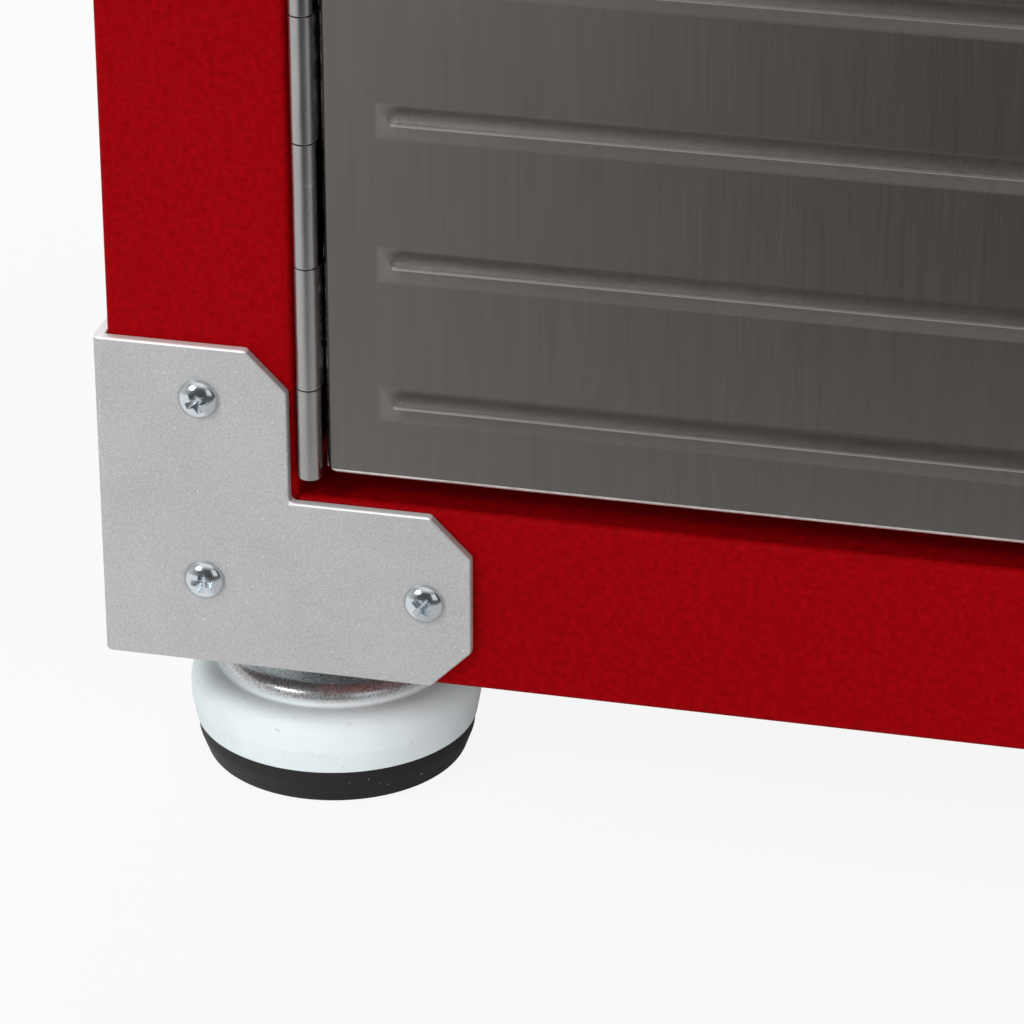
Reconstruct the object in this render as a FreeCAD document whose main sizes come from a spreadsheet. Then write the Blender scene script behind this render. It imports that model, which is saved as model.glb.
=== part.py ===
# Two-door steel tool cabinet: a red sheet carcass with ribbed stainless doors on continuous hinges,
# folded corner braces and four levelling feet.
# Millimetres, X to the right, Y into the cabinet, Z up.
# The origin is on the floor, at the middle of the whole outline.

import FreeCAD, Part
import math
import os
import Sketcher
from FreeCAD import Rotation, Vector

doc = FreeCAD.newDocument("tool_cabinet")
sheet = doc.addObject("Spreadsheet::Sheet", "Sizes")

SIZES = {
    # Carcass
    "body_width": 712,
    "body_depth": 457,
    "body_height": 877.4,
    "foot_height": 35.25,
    "wall": 1.2,
    "bend_radius": 1.5,
    "post_width": 38.15,
    "post_return": 22,
    "rail_height": 38.75,
    "rail_lip": 20,
    "sill_depth": 30,
    "head_depth": 45,
    "pan_flange": 30,
    "lid_lip": 20,
    # Corner braces and their screws
    "brace_sheet": 2.3,
    "brace_lift": 0.75,
    "brace_height": 68.9,
    "brace_width": 73.6,
    "brace_post_arm": 37,
    "brace_rail_arm": 37.2,
    "brace_chamfer": 8.3,
    "brace_bend": 1.8,
    "brace_corner": 2,
    "screw_near": 19.2,
    "screw_far": 64.2,
    "screw_low": 18.45,
    "screw_high": 57.75,
    "screw_shank": 2,
    "screw_head": 4.15,
    "screw_head_rise": 2.4,
    "screw_length": 6,
    "screw_clearance": 0.15,
    # Doors
    "door_side_gap": 6.1,
    "door_end_gap": 5.5,
    "door_middle_gap": 4,
    "door_depth": 19.2,
    "door_sheet": 0.8,
    "door_corner_radius": 2,
    "pan_depth": 12,
    "rib_pitch": 29.1,
    "rib_margin": 16.1,
    "rib_inset": 12.5,
    "rib_height": 7.6,
    "rib_crest": 0.6,
    "rib_rise": 1.3,
    # Continuous hinges
    "hinge_end_gap": 0.5,
    "hinge_forward": 1,
    "barrel_radius": 2.4,
    "bore_radius": 1.25,
    "pin_radius": 1.2,
    "knuckle_pitch": 25.4,
    "end_knuckle": 19.1,
    "knuckle_gap": 0.3,
    "knuckle_round": 0.8,
    "pin_setback": 0.6,
    "leaf_sheet": 1,
    "leaf_setback": 5,
    "leaf_depth": 15,
    "rivet_pitch": 127,
    "rivet_radius": 1.6,
    "rivet_head": 2.6,
    "rivet_head_rise": 0.9,
    # Handles
    "handle_inset": 34,
    "handle_ribs": 6,
    "handle_down": 4,
    "bar_radius": 6,
    "bar_overhang": 22,
    "bar_reach": 32,
    "stand_radius": 4.5,
    # Door catches
    "catch_inset": 125,
    "catch_width": 42,
    "catch_height": 14,
    "catch_depth": 18,
    "strike_height": 15,
    "strike_sheet": 1.2,
    "strike_corner": 1.2,
    "strike_gap": 0.3,
    # Lock
    "lock_inset": 40,
    "bezel_radius": 9,
    "bezel_rise": 2.5,
    "barrel_body": 7.9,
    "barrel_length": 27,
    "plug_radius": 5.5,
    "plug_clearance": 0.05,
    "keyway_height": 7.7,
    "keyway_width": 1.5,
    "cam_sheet": 2,
    "cam_width": 12,
    "cam_reach": 46,
    "cam_corner": 4.8,
    "cam_gap": 0.3,
    "lock_nut_radius": 12,
    "lock_nut_depth": 3,
    # Shelves and their uprights
    "upright_width": 14,
    "upright_depth": 8,
    "upright_front": 70,
    "upright_rear": 67,
    "upright_foot_gap": 4,
    "upright_top_gap": 40,
    "slot_pitch": 50,
    "slot_first": 30,
    "slot_width": 3.2,
    "slot_height": 14,
    "lower_slot": 4,
    "upper_slot": 9,
    "clip_sheet": 2.5,
    "clip_reach": 16,
    "clip_height": 10,
    "clip_heel": 5,
    "clip_hook": 2.5,
    "shelf_sheet": 0.9,
    "shelf_side_gap": 1,
    "shelf_front": 46,
    "shelf_rear": 25,
    "shelf_flange": 25,
    "shelf_lip": 10,
    # Levelling feet
    "foot_inset": 35.3,
    "pad_height": 8.3,
    "pad_radius": 29,
    "pad_round": 2.4,
    "pad_gap": 0.3,
    "cup_rim_radius": 29.4,
    "cup_radius": 30.3,
    "cup_flare": 5,
    "cup_wall": 12.7,
    "cup_round": 1.2,
    "cup_sheet": 1.5,
    "boss_radius": 24.6,
    "boss_rise": 4,
    "boss_round": 2.2,
    "boss_fillet": 0.6,
    "stud_radius": 5,
    "stud_length": 42,
    "collar_radius": 9,
    "collar_height": 2.5,
    "journal_radius": 4,
    "journal_clearance": 0.05,
    "journal_head": 6.5,
    "journal_head_height": 1.5,
    "nut_flats": 17,
    "jam_nut_height": 5,
    "weld_nut_height": 8,
    "thread_clearance": 0.05,
    "plate_sheet": 3,
    "plate_width": 74,
    "plate_length": 58,
    "plate_flange": 25,
}

for row, (name, number) in enumerate(SIZES.items(), start=1):
    sheet.set(f"A{row}", name)
    sheet.set(f"B{row}", str(number))
    sheet.setAlias(f"B{row}", name)
doc.recompute()


class Measure:
    """A length that knows its number and the sheet formula behind it."""

    def __init__(self, number, formula):
        self.number = float(number)
        self.formula = formula

    def __add__(self, other):
        other = measure(other)
        return Measure(self.number + other.number, f"({self.formula} + {other.formula})")

    def __sub__(self, other):
        other = measure(other)
        return Measure(self.number - other.number, f"({self.formula} - {other.formula})")

    def __mul__(self, other):
        other = measure(other)
        return Measure(self.number * other.number, f"({self.formula} * {other.formula})")

    def __truediv__(self, other):
        other = measure(other)
        return Measure(self.number / other.number, f"({self.formula} / {other.formula})")

    def __neg__(self):
        return Measure(-self.number, f"(0 - {self.formula})")

    def __radd__(self, other):
        return measure(other) + self

    def __rsub__(self, other):
        return measure(other) - self

    def __rmul__(self, other):
        return measure(other) * self


def measure(value):
    """A Measure, also from a plain number."""
    if isinstance(value, Measure):
        return value
    return Measure(value, repr(float(value)))


def size(name):
    """The Measure of one cell of the sheet."""
    return Measure(sheet.get(name), f"Sizes.{name}")


def bind(item, prop, value):
    """Ties a property to the sheet."""
    item.setExpression(prop, measure(value).formula)


# Places that several pieces share

wall = size("wall")
half_width = size("body_width") / 2
front_reach = size("bar_reach") + size("bar_radius")
back_reach = size("brace_sheet") + size("screw_head_rise")
front = (front_reach - back_reach - size("body_depth")) / 2
back = front + size("body_depth")
base = size("foot_height")
brace_base = base + size("brace_lift")
top = base + size("body_height")
sill = base + size("rail_height")
head = top - size("rail_height")
under_lid = top - wall
door_low = sill + size("door_end_gap")
door_high = head - size("door_end_gap")
door_rear = front + size("door_depth")
door_outer = size("post_width") + size("door_side_gap")
hinge_low = door_low - size("hinge_end_gap")
hinge_high = door_high + size("hinge_end_gap")
hinge_inset = size("post_width") + size("door_side_gap") / 2
hinge_depth = front - size("hinge_forward")
first_rib = door_low + size("rib_margin")

SIDES = {"left": -1, "right": 1}
ENDS = {"front": -1, "rear": 1}


def across(side, inset):
    """X at a distance in from the left (-1) or right (1) face of the carcass."""
    return side * (half_width - inset)


def along(end, inset):
    """Y at a distance in from the front (-1) or rear (1) face of the carcass."""
    return front + inset if end < 0 else back - inset


# Helpers for bodies, sketches and features

made = []


def new_body(label):
    """An empty body under the name of its piece."""
    body = doc.addObject("PartDesign::Body", label)
    body.Label = label
    made.append(body)
    return body


def new_sketch(body, view, place=0):
    """A sketch on the body's front, side or top plane, moved to Y, X or Z = place."""
    role = {"front": "XZ_Plane", "side": "YZ_Plane", "top": "XY_Plane"}[view]
    sketch = body.newObject("Sketcher::SketchObject", "Outline")
    planes = [item for item in body.Origin.OriginFeatures if item.Role == role]
    sketch.AttachmentSupport = (planes[0], [""])
    sketch.MapMode = "FlatFace"
    offset = -measure(place) if view == "front" else measure(place)
    bind(sketch, "AttachmentOffset.Base.z", offset)
    return sketch


def pin_point(sketch, index, end, place):
    """Holds one point of a sketch at its place, measured from the sketch's origin."""
    for kind, value in zip(("DistanceX", "DistanceY"), place):
        value = measure(value)
        number = sketch.addConstraint(Sketcher.Constraint(kind, -1, 1, index, end, value.number))
        sketch.setExpression(f"Constraints[{number}]", value.formula)


def outline(sketch, points):
    """A closed outline of straight lines."""
    points = [(measure(x), measure(y)) for x, y in points]
    first = sketch.GeometryCount
    count = len(points)
    for index, (x, y) in enumerate(points):
        next_x, next_y = points[(index + 1) % count]
        line = Part.LineSegment(Vector(x.number, y.number, 0), Vector(next_x.number, next_y.number, 0))
        sketch.addGeometry(line, False)
    for index in range(count):
        follower = first + (index + 1) % count
        sketch.addConstraint(Sketcher.Constraint("Coincident", first + index, 2, follower, 1))
    for index, place in enumerate(points):
        pin_point(sketch, first + index, 1, place)


def rectangle(sketch, low, high):
    """A rectangle between two corners."""
    outline(sketch, [low, (high[0], low[1]), high, (low[0], high[1])])


def circle(sketch, centre, radius):
    """A circle tied to its centre and radius."""
    centre = (measure(centre[0]), measure(centre[1]))
    radius = measure(radius)
    shape = Part.Circle(Vector(centre[0].number, centre[1].number, 0), Vector(0, 0, 1), radius.number)
    index = sketch.addGeometry(shape, False)
    pin_point(sketch, index, 3, centre)
    number = sketch.addConstraint(Sketcher.Constraint("Radius", index, radius.number))
    sketch.setExpression(f"Constraints[{number}]", radius.formula)


def pad(body, sketch, length, reverse=False):
    """Material from the sketch; a front sketch grows towards the viewer, reversed away from them."""
    feature = body.newObject("PartDesign::Pad", "Pad")
    feature.Profile = sketch
    bind(feature, "Length", length)
    feature.Reversed = reverse
    body.Tip = feature
    doc.recompute()
    return feature


def pocket(body, sketch, length=None, reverse=False, both=False):
    """A cut of a set depth to one side of its sketch or centred on it, or through the whole piece."""
    before = body.Shape.Volume
    feature = body.newObject("PartDesign::Pocket", "Pocket")
    feature.Profile = sketch
    if length is None:
        feature.Type = "ThroughAll"
        feature.Midplane = True
    else:
        bind(feature, "Length", length)
        feature.Midplane = both
        feature.Reversed = reverse
    body.Tip = feature
    doc.recompute()
    if body.Shape.Volume > before - 1e-6:
        raise ValueError(f"a cut in {body.Label} removes nothing")
    return feature


def revolve(body, sketch, axis="V_Axis"):
    """A full turn of the sketch about one of its own axes."""
    feature = body.newObject("PartDesign::Revolution", "Turn")
    feature.Profile = sketch
    feature.ReferenceAxis = (sketch, [axis])
    feature.Angle = 360
    body.Tip = feature
    doc.recompute()
    return feature


def repeat(body, feature, axis, pitch, count):
    """Copies of a feature along one of the body's axes; the count is a Measure or a number."""
    pattern = body.newObject("PartDesign::LinearPattern", "Row")
    axes = [item for item in body.Origin.OriginFeatures if item.Role == axis]
    pattern.Originals = [feature]
    pattern.Direction = (axes[0], [""])
    pattern.Mode = "Spacing"
    bind(pattern, "Offset", pitch)
    bind(pattern, "Occurrences", count)
    body.Tip = pattern
    doc.recompute()
    return pattern


def round_edges(body, radius, wanted):
    """Rounds the edges that the test picks, by their middle point and direction."""
    names = []
    for index, edge in enumerate(body.Shape.Edges, start=1):
        if edge.Curve.TypeId != "Part::GeomLine":
            continue
        middle = edge.CenterOfMass
        if wanted(middle, edge.Curve.Direction):
            names.append(f"Edge{index}")
    base_feature = body.Tip
    feature = body.newObject("PartDesign::Fillet", "Round")
    feature.Base = (base_feature, names)
    bind(feature, "Radius", radius)
    body.Tip = feature
    doc.recompute()
    return feature


def round_rings(body, radius, rings):
    """Rounds the level circular edges at the given (radius, height) places."""
    names = []
    for index, edge in enumerate(body.Shape.Edges, start=1):
        if edge.Curve.TypeId != "Part::GeomCircle":
            continue
        for ring_radius, height in rings:
            if near(edge.Curve.Radius, ring_radius) and near(edge.Curve.Center.z, height):
                names.append(f"Edge{index}")
    if not names:
        raise ValueError(f"no ring to round on {body.Label}")
    base_feature = body.Tip
    feature = body.newObject("PartDesign::Fillet", "Round")
    feature.Base = (base_feature, names)
    bind(feature, "Radius", radius)
    body.Tip = feature
    doc.recompute()
    return feature


def near(value, target):
    """True where a coordinate is at a Measure's place."""
    return abs(value - measure(target).number) < 0.01


def upright(direction):
    """True for a direction along Z."""
    return abs(direction.z) > 0.999


def group(label, shapes):
    """One node for a set of separate, like solids."""
    item = doc.addObject("Part::Feature", label)
    item.Label = label
    item.Shape = Part.makeCompound(shapes)
    made.append(item)
    return item


def turned(points, origin, direction):
    """A solid of revolution: points are (along the axis, radius), and the axis starts at origin."""
    wire = Part.makePolygon([Vector(radius, 0, reach) for reach, radius in points + points[:1]])
    solid = Part.Face(wire).revolve(Vector(0, 0, 0), Vector(0, 0, 1), 360)
    solid.Placement = FreeCAD.Placement(origin, Rotation(Vector(0, 0, 1), direction))
    return solid


# Carcass

def bracket_holes(sketch, spot, low, insets, radius):
    """Clearance holes for brace screws: insets are (distance along, height above the brace's foot)."""
    for distance, height in insets:
        circle(sketch, (spot(distance), low + height), radius)


hole_radius = size("screw_shank") + size("screw_clearance")
post_screws = [(size("screw_near"), size("screw_low")), (size("screw_near"), size("screw_high"))]
rail_screw = [(size("screw_far"), size("screw_low"))]
low_screws = post_screws[:1] + rail_screw


def side_panel(name, side):
    """Side wall with the front and rear posts folded from the same sheet."""
    body = new_body(f"{name}_side_panel")
    post = size("post_width")
    section = [
        (0, 0), (post, 0), (post, size("post_return")), (post - wall, size("post_return")),
        (post - wall, wall), (wall, wall), (wall, size("body_depth") - wall),
        (post, size("body_depth") - wall), (post, size("body_depth")), (0, size("body_depth")),
    ]
    sketch = new_sketch(body, "top", base)
    outline(sketch, [(across(side, x), front + y) for x, y in section])
    pad(body, sketch, under_lid - base)
    outer = across(side, 0)
    round_edges(body, size("bend_radius"), lambda spot, way: upright(way) and near(spot.x, outer))
    for end in ENDS.values():
        sketch = new_sketch(body, "front", along(end, wall / 2))
        bracket_holes(sketch, lambda inset: across(side, inset), brace_base, post_screws, hole_radius)
        pocket(body, sketch, wall * 2, both=True)
    sketch = new_sketch(body, "side", across(side, wall / 2))
    for end in ENDS.values():
        bracket_holes(
            sketch, lambda inset: along(end, inset), brace_base, post_screws + rail_screw, hole_radius,
        )
    pocket(body, sketch, wall * 2, both=True)
    sketch = new_sketch(body, "side", across(side, size("post_width") - wall / 2))
    for height in rivet_heights():
        circle(sketch, (leaf_middle, height), rivet_hole)
    pocket(body, sketch, wall * 2, both=True)
    return body


def rivet_heights():
    """Heights of the hinge rivets, evenly spaced about the middle of the hinge."""
    length = (hinge_high - hinge_low).number
    count = int((length - size("rivet_pitch").number / 2) // size("rivet_pitch").number) + 1
    middle = (hinge_low + hinge_high) / 2
    return [middle + size("rivet_pitch") * (index - (count - 1) / 2) for index in range(count)]


leaf_front = hinge_depth + size("leaf_setback")
leaf_middle = leaf_front + size("leaf_depth") / 2
rivet_hole = size("rivet_radius") + size("screw_clearance")


def front_rail(name, section):
    """A folded rail between the posts, with its section given as (Y from the front, Z)."""
    body = new_body(name)
    sketch = new_sketch(body, "side", across(-1, size("post_width")))
    outline(sketch, [(front + y, z) for y, z in section])
    pad(body, sketch, size("body_width") - size("post_width") * 2)
    return body


def bottom_rail():
    """Rail under the doors; its top return is the sill."""
    body = front_rail("bottom_front_rail", [
        (0, base), (size("rail_lip"), base), (size("rail_lip"), base + wall), (wall, base + wall),
        (wall, sill - wall), (size("sill_depth"), sill - wall), (size("sill_depth"), sill), (0, sill),
    ])
    round_edges(body, size("bend_radius"), lambda spot, way: near(spot.y, front) and near(abs(way.x), 1))
    sketch = new_sketch(body, "front", front + wall / 2)
    for side in SIDES.values():
        bracket_holes(sketch, lambda inset: across(side, inset), brace_base, rail_screw, hole_radius)
    pocket(body, sketch, wall * 2, both=True)


def top_rail():
    """Rail over the doors; its lower return carries the catches and has the slot for the lock's cam."""
    body = front_rail("top_front_rail", [
        (0, head), (size("head_depth"), head), (size("head_depth"), head + wall), (wall, head + wall),
        (wall, under_lid - wall), (size("rail_lip"), under_lid - wall), (size("rail_lip"), under_lid),
        (0, under_lid),
    ])
    round_edges(body, size("bend_radius"), lambda spot, way: near(spot.y, front) and near(abs(way.x), 1))
    room = size("cam_width") / 2 + size("cam_sheet")
    sketch = new_sketch(body, "top", head + wall / 2)
    rectangle(
        sketch,
        (lock_x - room, cam_front - size("cam_sheet")),
        (lock_x + size("cam_reach"), cam_front + size("cam_sheet") * 2),
    )
    pocket(body, sketch, wall * 2, both=True)


lock_x = size("door_middle_gap") / 2 + size("lock_inset")
lock_z = door_high - size("rib_margin") - size("rib_pitch") / 2
cam_front = front + size("barrel_length") + size("cam_gap")


def floor_pan():
    """Cabinet floor, with side flanges turned down and its front edge under the sill."""
    body = new_body("floor_pan")
    high = sill - wall
    low = high - size("pan_flange")
    outer = half_width - wall
    inner = outer - wall
    sketch = new_sketch(body, "front", front + size("post_return"))
    outline(sketch, [
        (-outer, low), (-inner, low), (-inner, high - wall), (inner, high - wall),
        (inner, low), (outer, low), (outer, high), (-outer, high),
    ])
    pad(body, sketch, size("body_depth") - size("post_return") - wall * 2, reverse=True)
    for side in SIDES.values():
        sketch = new_sketch(body, "side", across(side, wall * 1.5))
        for end in ENDS.values():
            bracket_holes(sketch, lambda inset: along(end, inset), brace_base, low_screws, hole_radius)
        pocket(body, sketch, wall * 2, both=True)


def back_panel():
    """Flat back sheet against the inside of the rear posts."""
    body = new_body("back_panel")
    sketch = new_sketch(body, "front", back - wall)
    rectangle(sketch, (wall - half_width, base), (half_width - wall, under_lid))
    for side in SIDES.values():
        bracket_holes(
            sketch, lambda inset: across(side, inset), brace_base, post_screws + rail_screw, hole_radius,
        )
    pad(body, sketch, wall)


def top_panel():
    """Lid sheet with its four lips turned down outside the carcass."""
    body = new_body("top_panel")
    low = under_lid - size("lid_lip")
    sketch = new_sketch(body, "top", low)
    rectangle(sketch, (-half_width - wall, front - wall), (half_width + wall, back + wall))
    pad(body, sketch, size("lid_lip") + wall)
    upper = size("bend_radius")
    round_edges(body, upper, lambda spot, way: near(spot.z, top) or upright(way))
    sketch = new_sketch(body, "top", low)
    rectangle(sketch, (-half_width, front), (half_width, back))
    pocket(body, sketch, size("lid_lip"), reverse=True)


# Corner braces

def brace_cut(body, view, spot, place):
    """Trims one leaf of a brace to its L outline, with chamfered corners and screw holes."""
    tall = size("brace_height")
    wide = size("brace_width")
    post_arm = size("brace_post_arm")
    rail_arm = size("brace_rail_arm")
    chamfer = size("brace_chamfer")
    spare = size("brace_sheet")
    upper = [
        (post_arm - chamfer, tall), (post_arm, tall - chamfer), (post_arm, rail_arm),
        (wide - chamfer, rail_arm), (wide, rail_arm - chamfer), (wide + spare, rail_arm - chamfer),
        (wide + spare, tall + spare), (post_arm - chamfer, tall + spare),
    ]
    lower = [
        (wide - chamfer, 0), (wide, chamfer), (wide + spare, chamfer), (wide + spare, -spare),
        (wide - chamfer, -spare),
    ]
    for region in (upper, lower):
        sketch = new_sketch(body, view, place)
        outline(sketch, [(spot(inset), brace_base + height) for inset, height in region])
        pocket(body, sketch)
    sketch = new_sketch(body, view, place)
    bracket_holes(sketch, spot, brace_base, post_screws + rail_screw, hole_radius)
    pocket(body, sketch, spare * 3, both=True)


def brace(end_name, end, side_name, side):
    """Folded corner brace: an L on the front or rear, and the same L round the side."""
    body = new_body(f"{end_name}_{side_name}_corner_brace")
    thick = size("brace_sheet")
    wide = size("brace_width")
    section = [(-thick, -thick), (wide, -thick), (wide, 0), (0, 0), (0, wide), (-thick, wide)]
    sketch = new_sketch(body, "top", brace_base)
    outline(sketch, [(across(side, x), along(end, y)) for x, y in section])
    pad(body, sketch, size("brace_height"))
    fold_x = across(side, -thick)
    fold_y = along(end, -thick)
    round_edges(
        body, size("brace_bend"),
        lambda spot, way: upright(way) and near(spot.x, fold_x) and near(spot.y, fold_y),
    )
    mid_x = across(side, -thick / 2)
    mid_y = along(end, -thick / 2)
    brace_cut(body, "front", lambda inset: across(side, inset), mid_y)
    brace_cut(body, "side", lambda inset: along(end, inset), mid_x)
    elbow = brace_base + size("brace_rail_arm")
    elbow_x = across(side, size("brace_post_arm"))
    elbow_y = along(end, size("brace_post_arm"))

    def at_elbow(spot, way):
        on_front = near(spot.x, elbow_x) and near(spot.y, mid_y)
        on_side = near(spot.y, elbow_y) and near(spot.x, mid_x)
        return near(spot.z, elbow) and (on_front or on_side)

    round_edges(body, size("brace_corner"), at_elbow)


# Shares of a pan head's rise and radius, from its seat to its flat top
SCREW_CROWN = [(0, 1), (0.35, 1), (0.75, 0.8), (1, 0.45)]


def head_profile(length):
    """Half section of a pan-head screw, as (along the axis, radius) from the tip of its shank."""
    radius = size("screw_head").number
    rise = size("screw_head_rise").number
    shank = size("screw_shank").number
    crown = [(rise * share, radius * width) for share, width in SCREW_CROWN]
    return [(-length, 0), (-length, shank), (0, shank)] + crown + [(rise, 0)]


def pan_head_screw(spot, direction):
    """Pan-head screw: the head stands on the surface at spot, and the shank runs the other way."""
    return turned(head_profile(size("screw_length").number), spot, direction)


def brace_screws():
    """Six screws to a brace: three through each leaf."""
    shapes = []
    depth = size("brace_sheet").number
    spots = [(inset.number, (brace_base + height).number) for inset, height in post_screws + rail_screw]
    for end in ENDS.values():
        for side in SIDES.values():
            for inset, height in spots:
                face = along(end, 0).number + end * depth
                spot = Vector(across(side, inset).number, face, height)
                shapes.append(pan_head_screw(spot, Vector(0, end, 0)))
                face = across(side, 0).number + side * depth
                spot = Vector(face, along(end, inset).number, height)
                shapes.append(pan_head_screw(spot, Vector(side, 0, 0)))
    group("brace_screws", shapes)


# Continuous hinges

def leaf_edges(inner):
    """Insets of a leaf's two faces: the one on the post or door, and the one in the gap."""
    if inner:
        edge = size("post_width") + size("door_side_gap")
        return edge, edge - size("leaf_sheet")
    return size("post_width"), size("post_width") + size("leaf_sheet")


def knuckle(body, side, low, length, inner, rounded=None):
    """One rolled knuckle with the strip of leaf that it is rolled from; inner is the door's side.
    An end knuckle is rounded at the given height."""
    sketch = new_sketch(body, "top", low)
    circle(sketch, (across(side, hinge_inset), hinge_depth), size("barrel_radius"))
    roll = pad(body, sketch, length)
    if rounded:
        round_rings(body, size("knuckle_round"), [(size("barrel_radius"), rounded)])
    carrier, face = leaf_edges(inner)
    sketch = new_sketch(body, "top", low)
    rectangle(
        sketch,
        (across(side, carrier), hinge_depth),
        (across(side, face), leaf_front + size("leaf_sheet")),
    )
    return roll, pad(body, sketch, length)


def hinge_leaf(label, side, inner):
    """One leaf of a continuous hinge. The frame's has the bottom knuckle, the door's the top one."""
    body = new_body(label)
    carrier, face = leaf_edges(inner)
    sketch = new_sketch(body, "top", hinge_low)
    rectangle(
        sketch,
        (across(side, carrier), leaf_front),
        (across(side, face), leaf_front + size("leaf_depth")),
    )
    pad(body, sketch, hinge_high - hinge_low)
    gap = size("knuckle_gap")
    pitch = size("knuckle_pitch")
    first = hinge_low + size("end_knuckle")
    full = int((hinge_high - first).number // pitch.number)
    if inner:
        last = first + pitch * full
        knuckle(body, side, last + gap / 2, hinge_high - last - gap / 2, inner, hinge_high)
        start = first + gap / 2
        pairs = (full + 1) // 2
    else:
        knuckle(body, side, hinge_low, size("end_knuckle") - gap / 2, inner, hinge_low)
        start = first + pitch + gap / 2
        pairs = full // 2
    row = knuckle(body, side, start, pitch - gap, inner)
    both = body.newObject("PartDesign::LinearPattern", "Knuckles")
    axes = [item for item in body.Origin.OriginFeatures if item.Role == "Z_Axis"]
    both.Originals = list(row)
    both.Direction = (axes[0], [""])
    both.Mode = "Spacing"
    bind(both, "Offset", pitch * 2)
    both.Occurrences = pairs
    body.Tip = both
    doc.recompute()
    sketch = new_sketch(body, "top", (hinge_low + hinge_high) / 2)
    circle(sketch, (across(side, hinge_inset), hinge_depth), size("bore_radius"))
    pocket(body, sketch)
    sketch = new_sketch(body, "side", (across(side, carrier) + across(side, face)) / 2)
    for height in rivet_heights():
        circle(sketch, (leaf_middle, height), rivet_hole)
    pocket(body, sketch, size("leaf_sheet") * 2, both=True)


def hinge_pin(name, side):
    """The wire that runs through every knuckle, a little short of both ends."""
    body = new_body(f"{name}_hinge_pin")
    sketch = new_sketch(body, "top", hinge_low + size("pin_setback"))
    circle(sketch, (across(side, hinge_inset), hinge_depth), size("pin_radius"))
    pad(body, sketch, hinge_high - hinge_low - size("pin_setback") * 2)


def hinge_rivets(label, sides, inner):
    """Rivets with a low head on the leaf and a shank through it and the sheet behind."""
    face = leaf_edges(inner)[1]
    backing = size("door_sheet") if inner else wall
    shank = (size("leaf_sheet") + backing).number
    radius = size("rivet_radius").number
    cap = size("rivet_head").number
    rise = size("rivet_head_rise").number
    points = [(-shank, 0), (-shank, radius), (0, radius)]
    points += [(0, cap), (rise / 2, cap), (rise, cap / 2), (rise, 0)]
    shapes = []
    for side in sides:
        direction = Vector(side if inner else -side, 0, 0)
        for height in rivet_heights():
            spot = Vector(across(side, face).number, leaf_middle.number, height.number)
            shapes.append(turned(points, spot, direction))
    group(label, shapes)


# Doors

rib_span = door_high - door_low - size("rib_margin") * 2
rib_count = Measure(
    rib_span.number // size("rib_pitch").number + 1,
    f"floor({(rib_span / size('rib_pitch')).formula}) + 1",
)
handle_high = first_rib + size("rib_pitch") * (rib_count - size("handle_down") - 0.5)
handle_low = handle_high - size("rib_pitch") * size("handle_ribs")


def door_span(side):
    """The door's outer and inner edges in X."""
    return across(side, door_outer), side * size("door_middle_gap") / 2


def handle_x(side):
    """Middle of a door's handle."""
    return side * (size("door_middle_gap") / 2 + size("handle_inset"))


def door_holes(body, side, place, depth):
    """Holes through a door's sheet for the handle's screws and, on the right, the lock."""
    sketch = new_sketch(body, "front", place)
    for height in (handle_low, handle_high):
        circle(sketch, (handle_x(side), height), hole_radius)
    if side > 0:
        circle(sketch, (lock_x, lock_z), size("barrel_body") + size("screw_clearance"))
    pocket(body, sketch, depth, both=True)


def door_skin(name, side):
    """Stainless front of a door: a tray with pressed ribs across it."""
    body = new_body(f"{name}_door_skin")
    outer, inner = door_span(side)
    inset = side * size("door_sheet")
    sketch = new_sketch(body, "front", front)
    rectangle(sketch, (outer, door_low), (inner, door_high))
    pad(body, sketch, size("door_depth"), reverse=True)
    round_edges(body, size("door_corner_radius"), lambda spot, way: near(abs(way.y), 1))
    sketch = new_sketch(body, "front", door_rear)
    rectangle(
        sketch,
        (outer - inset, door_low + size("door_sheet")),
        (inner + inset, door_high - size("door_sheet")),
    )
    pocket(body, sketch, size("door_depth") - size("door_sheet"), reverse=True)
    press(body, side, front, 1)
    press(body, side, front + size("door_sheet"), -1)
    door_holes(body, side, front, size("door_sheet") * 3)
    sketch = new_sketch(body, "side", outer - inset / 2)
    for height in rivet_heights():
        circle(sketch, (leaf_middle, height), rivet_hole)
    pocket(body, sketch, size("door_sheet") * 2, both=True)


def press(body, side, place, way):
    """A row of ribs pressed in the sheet: raised on its face (1), hollow behind (-1)."""
    outer, inner = door_span(side)
    start = outer - side * size("rib_inset")
    finish = inner + side * size("rib_inset")
    half = size("rib_height") / 2
    sketch = new_sketch(body, "front", place)
    rectangle(sketch, (start, first_rib - half), (finish, first_rib + half))
    kind = "PartDesign::Pad" if way > 0 else "PartDesign::Pocket"
    rib = body.newObject(kind, "Rib")
    rib.Profile = sketch
    bind(rib, "Length", size("rib_rise"))
    slope = (size("rib_height") - size("rib_crest")) / 2 / size("rib_rise")
    rib.setExpression("TaperAngle", f"-1 * atan({slope.formula})")
    rib.Reversed = way < 0
    body.Tip = rib
    doc.recompute()
    repeat(body, rib, "Z_Axis", size("rib_pitch"), rib_count)


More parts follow.
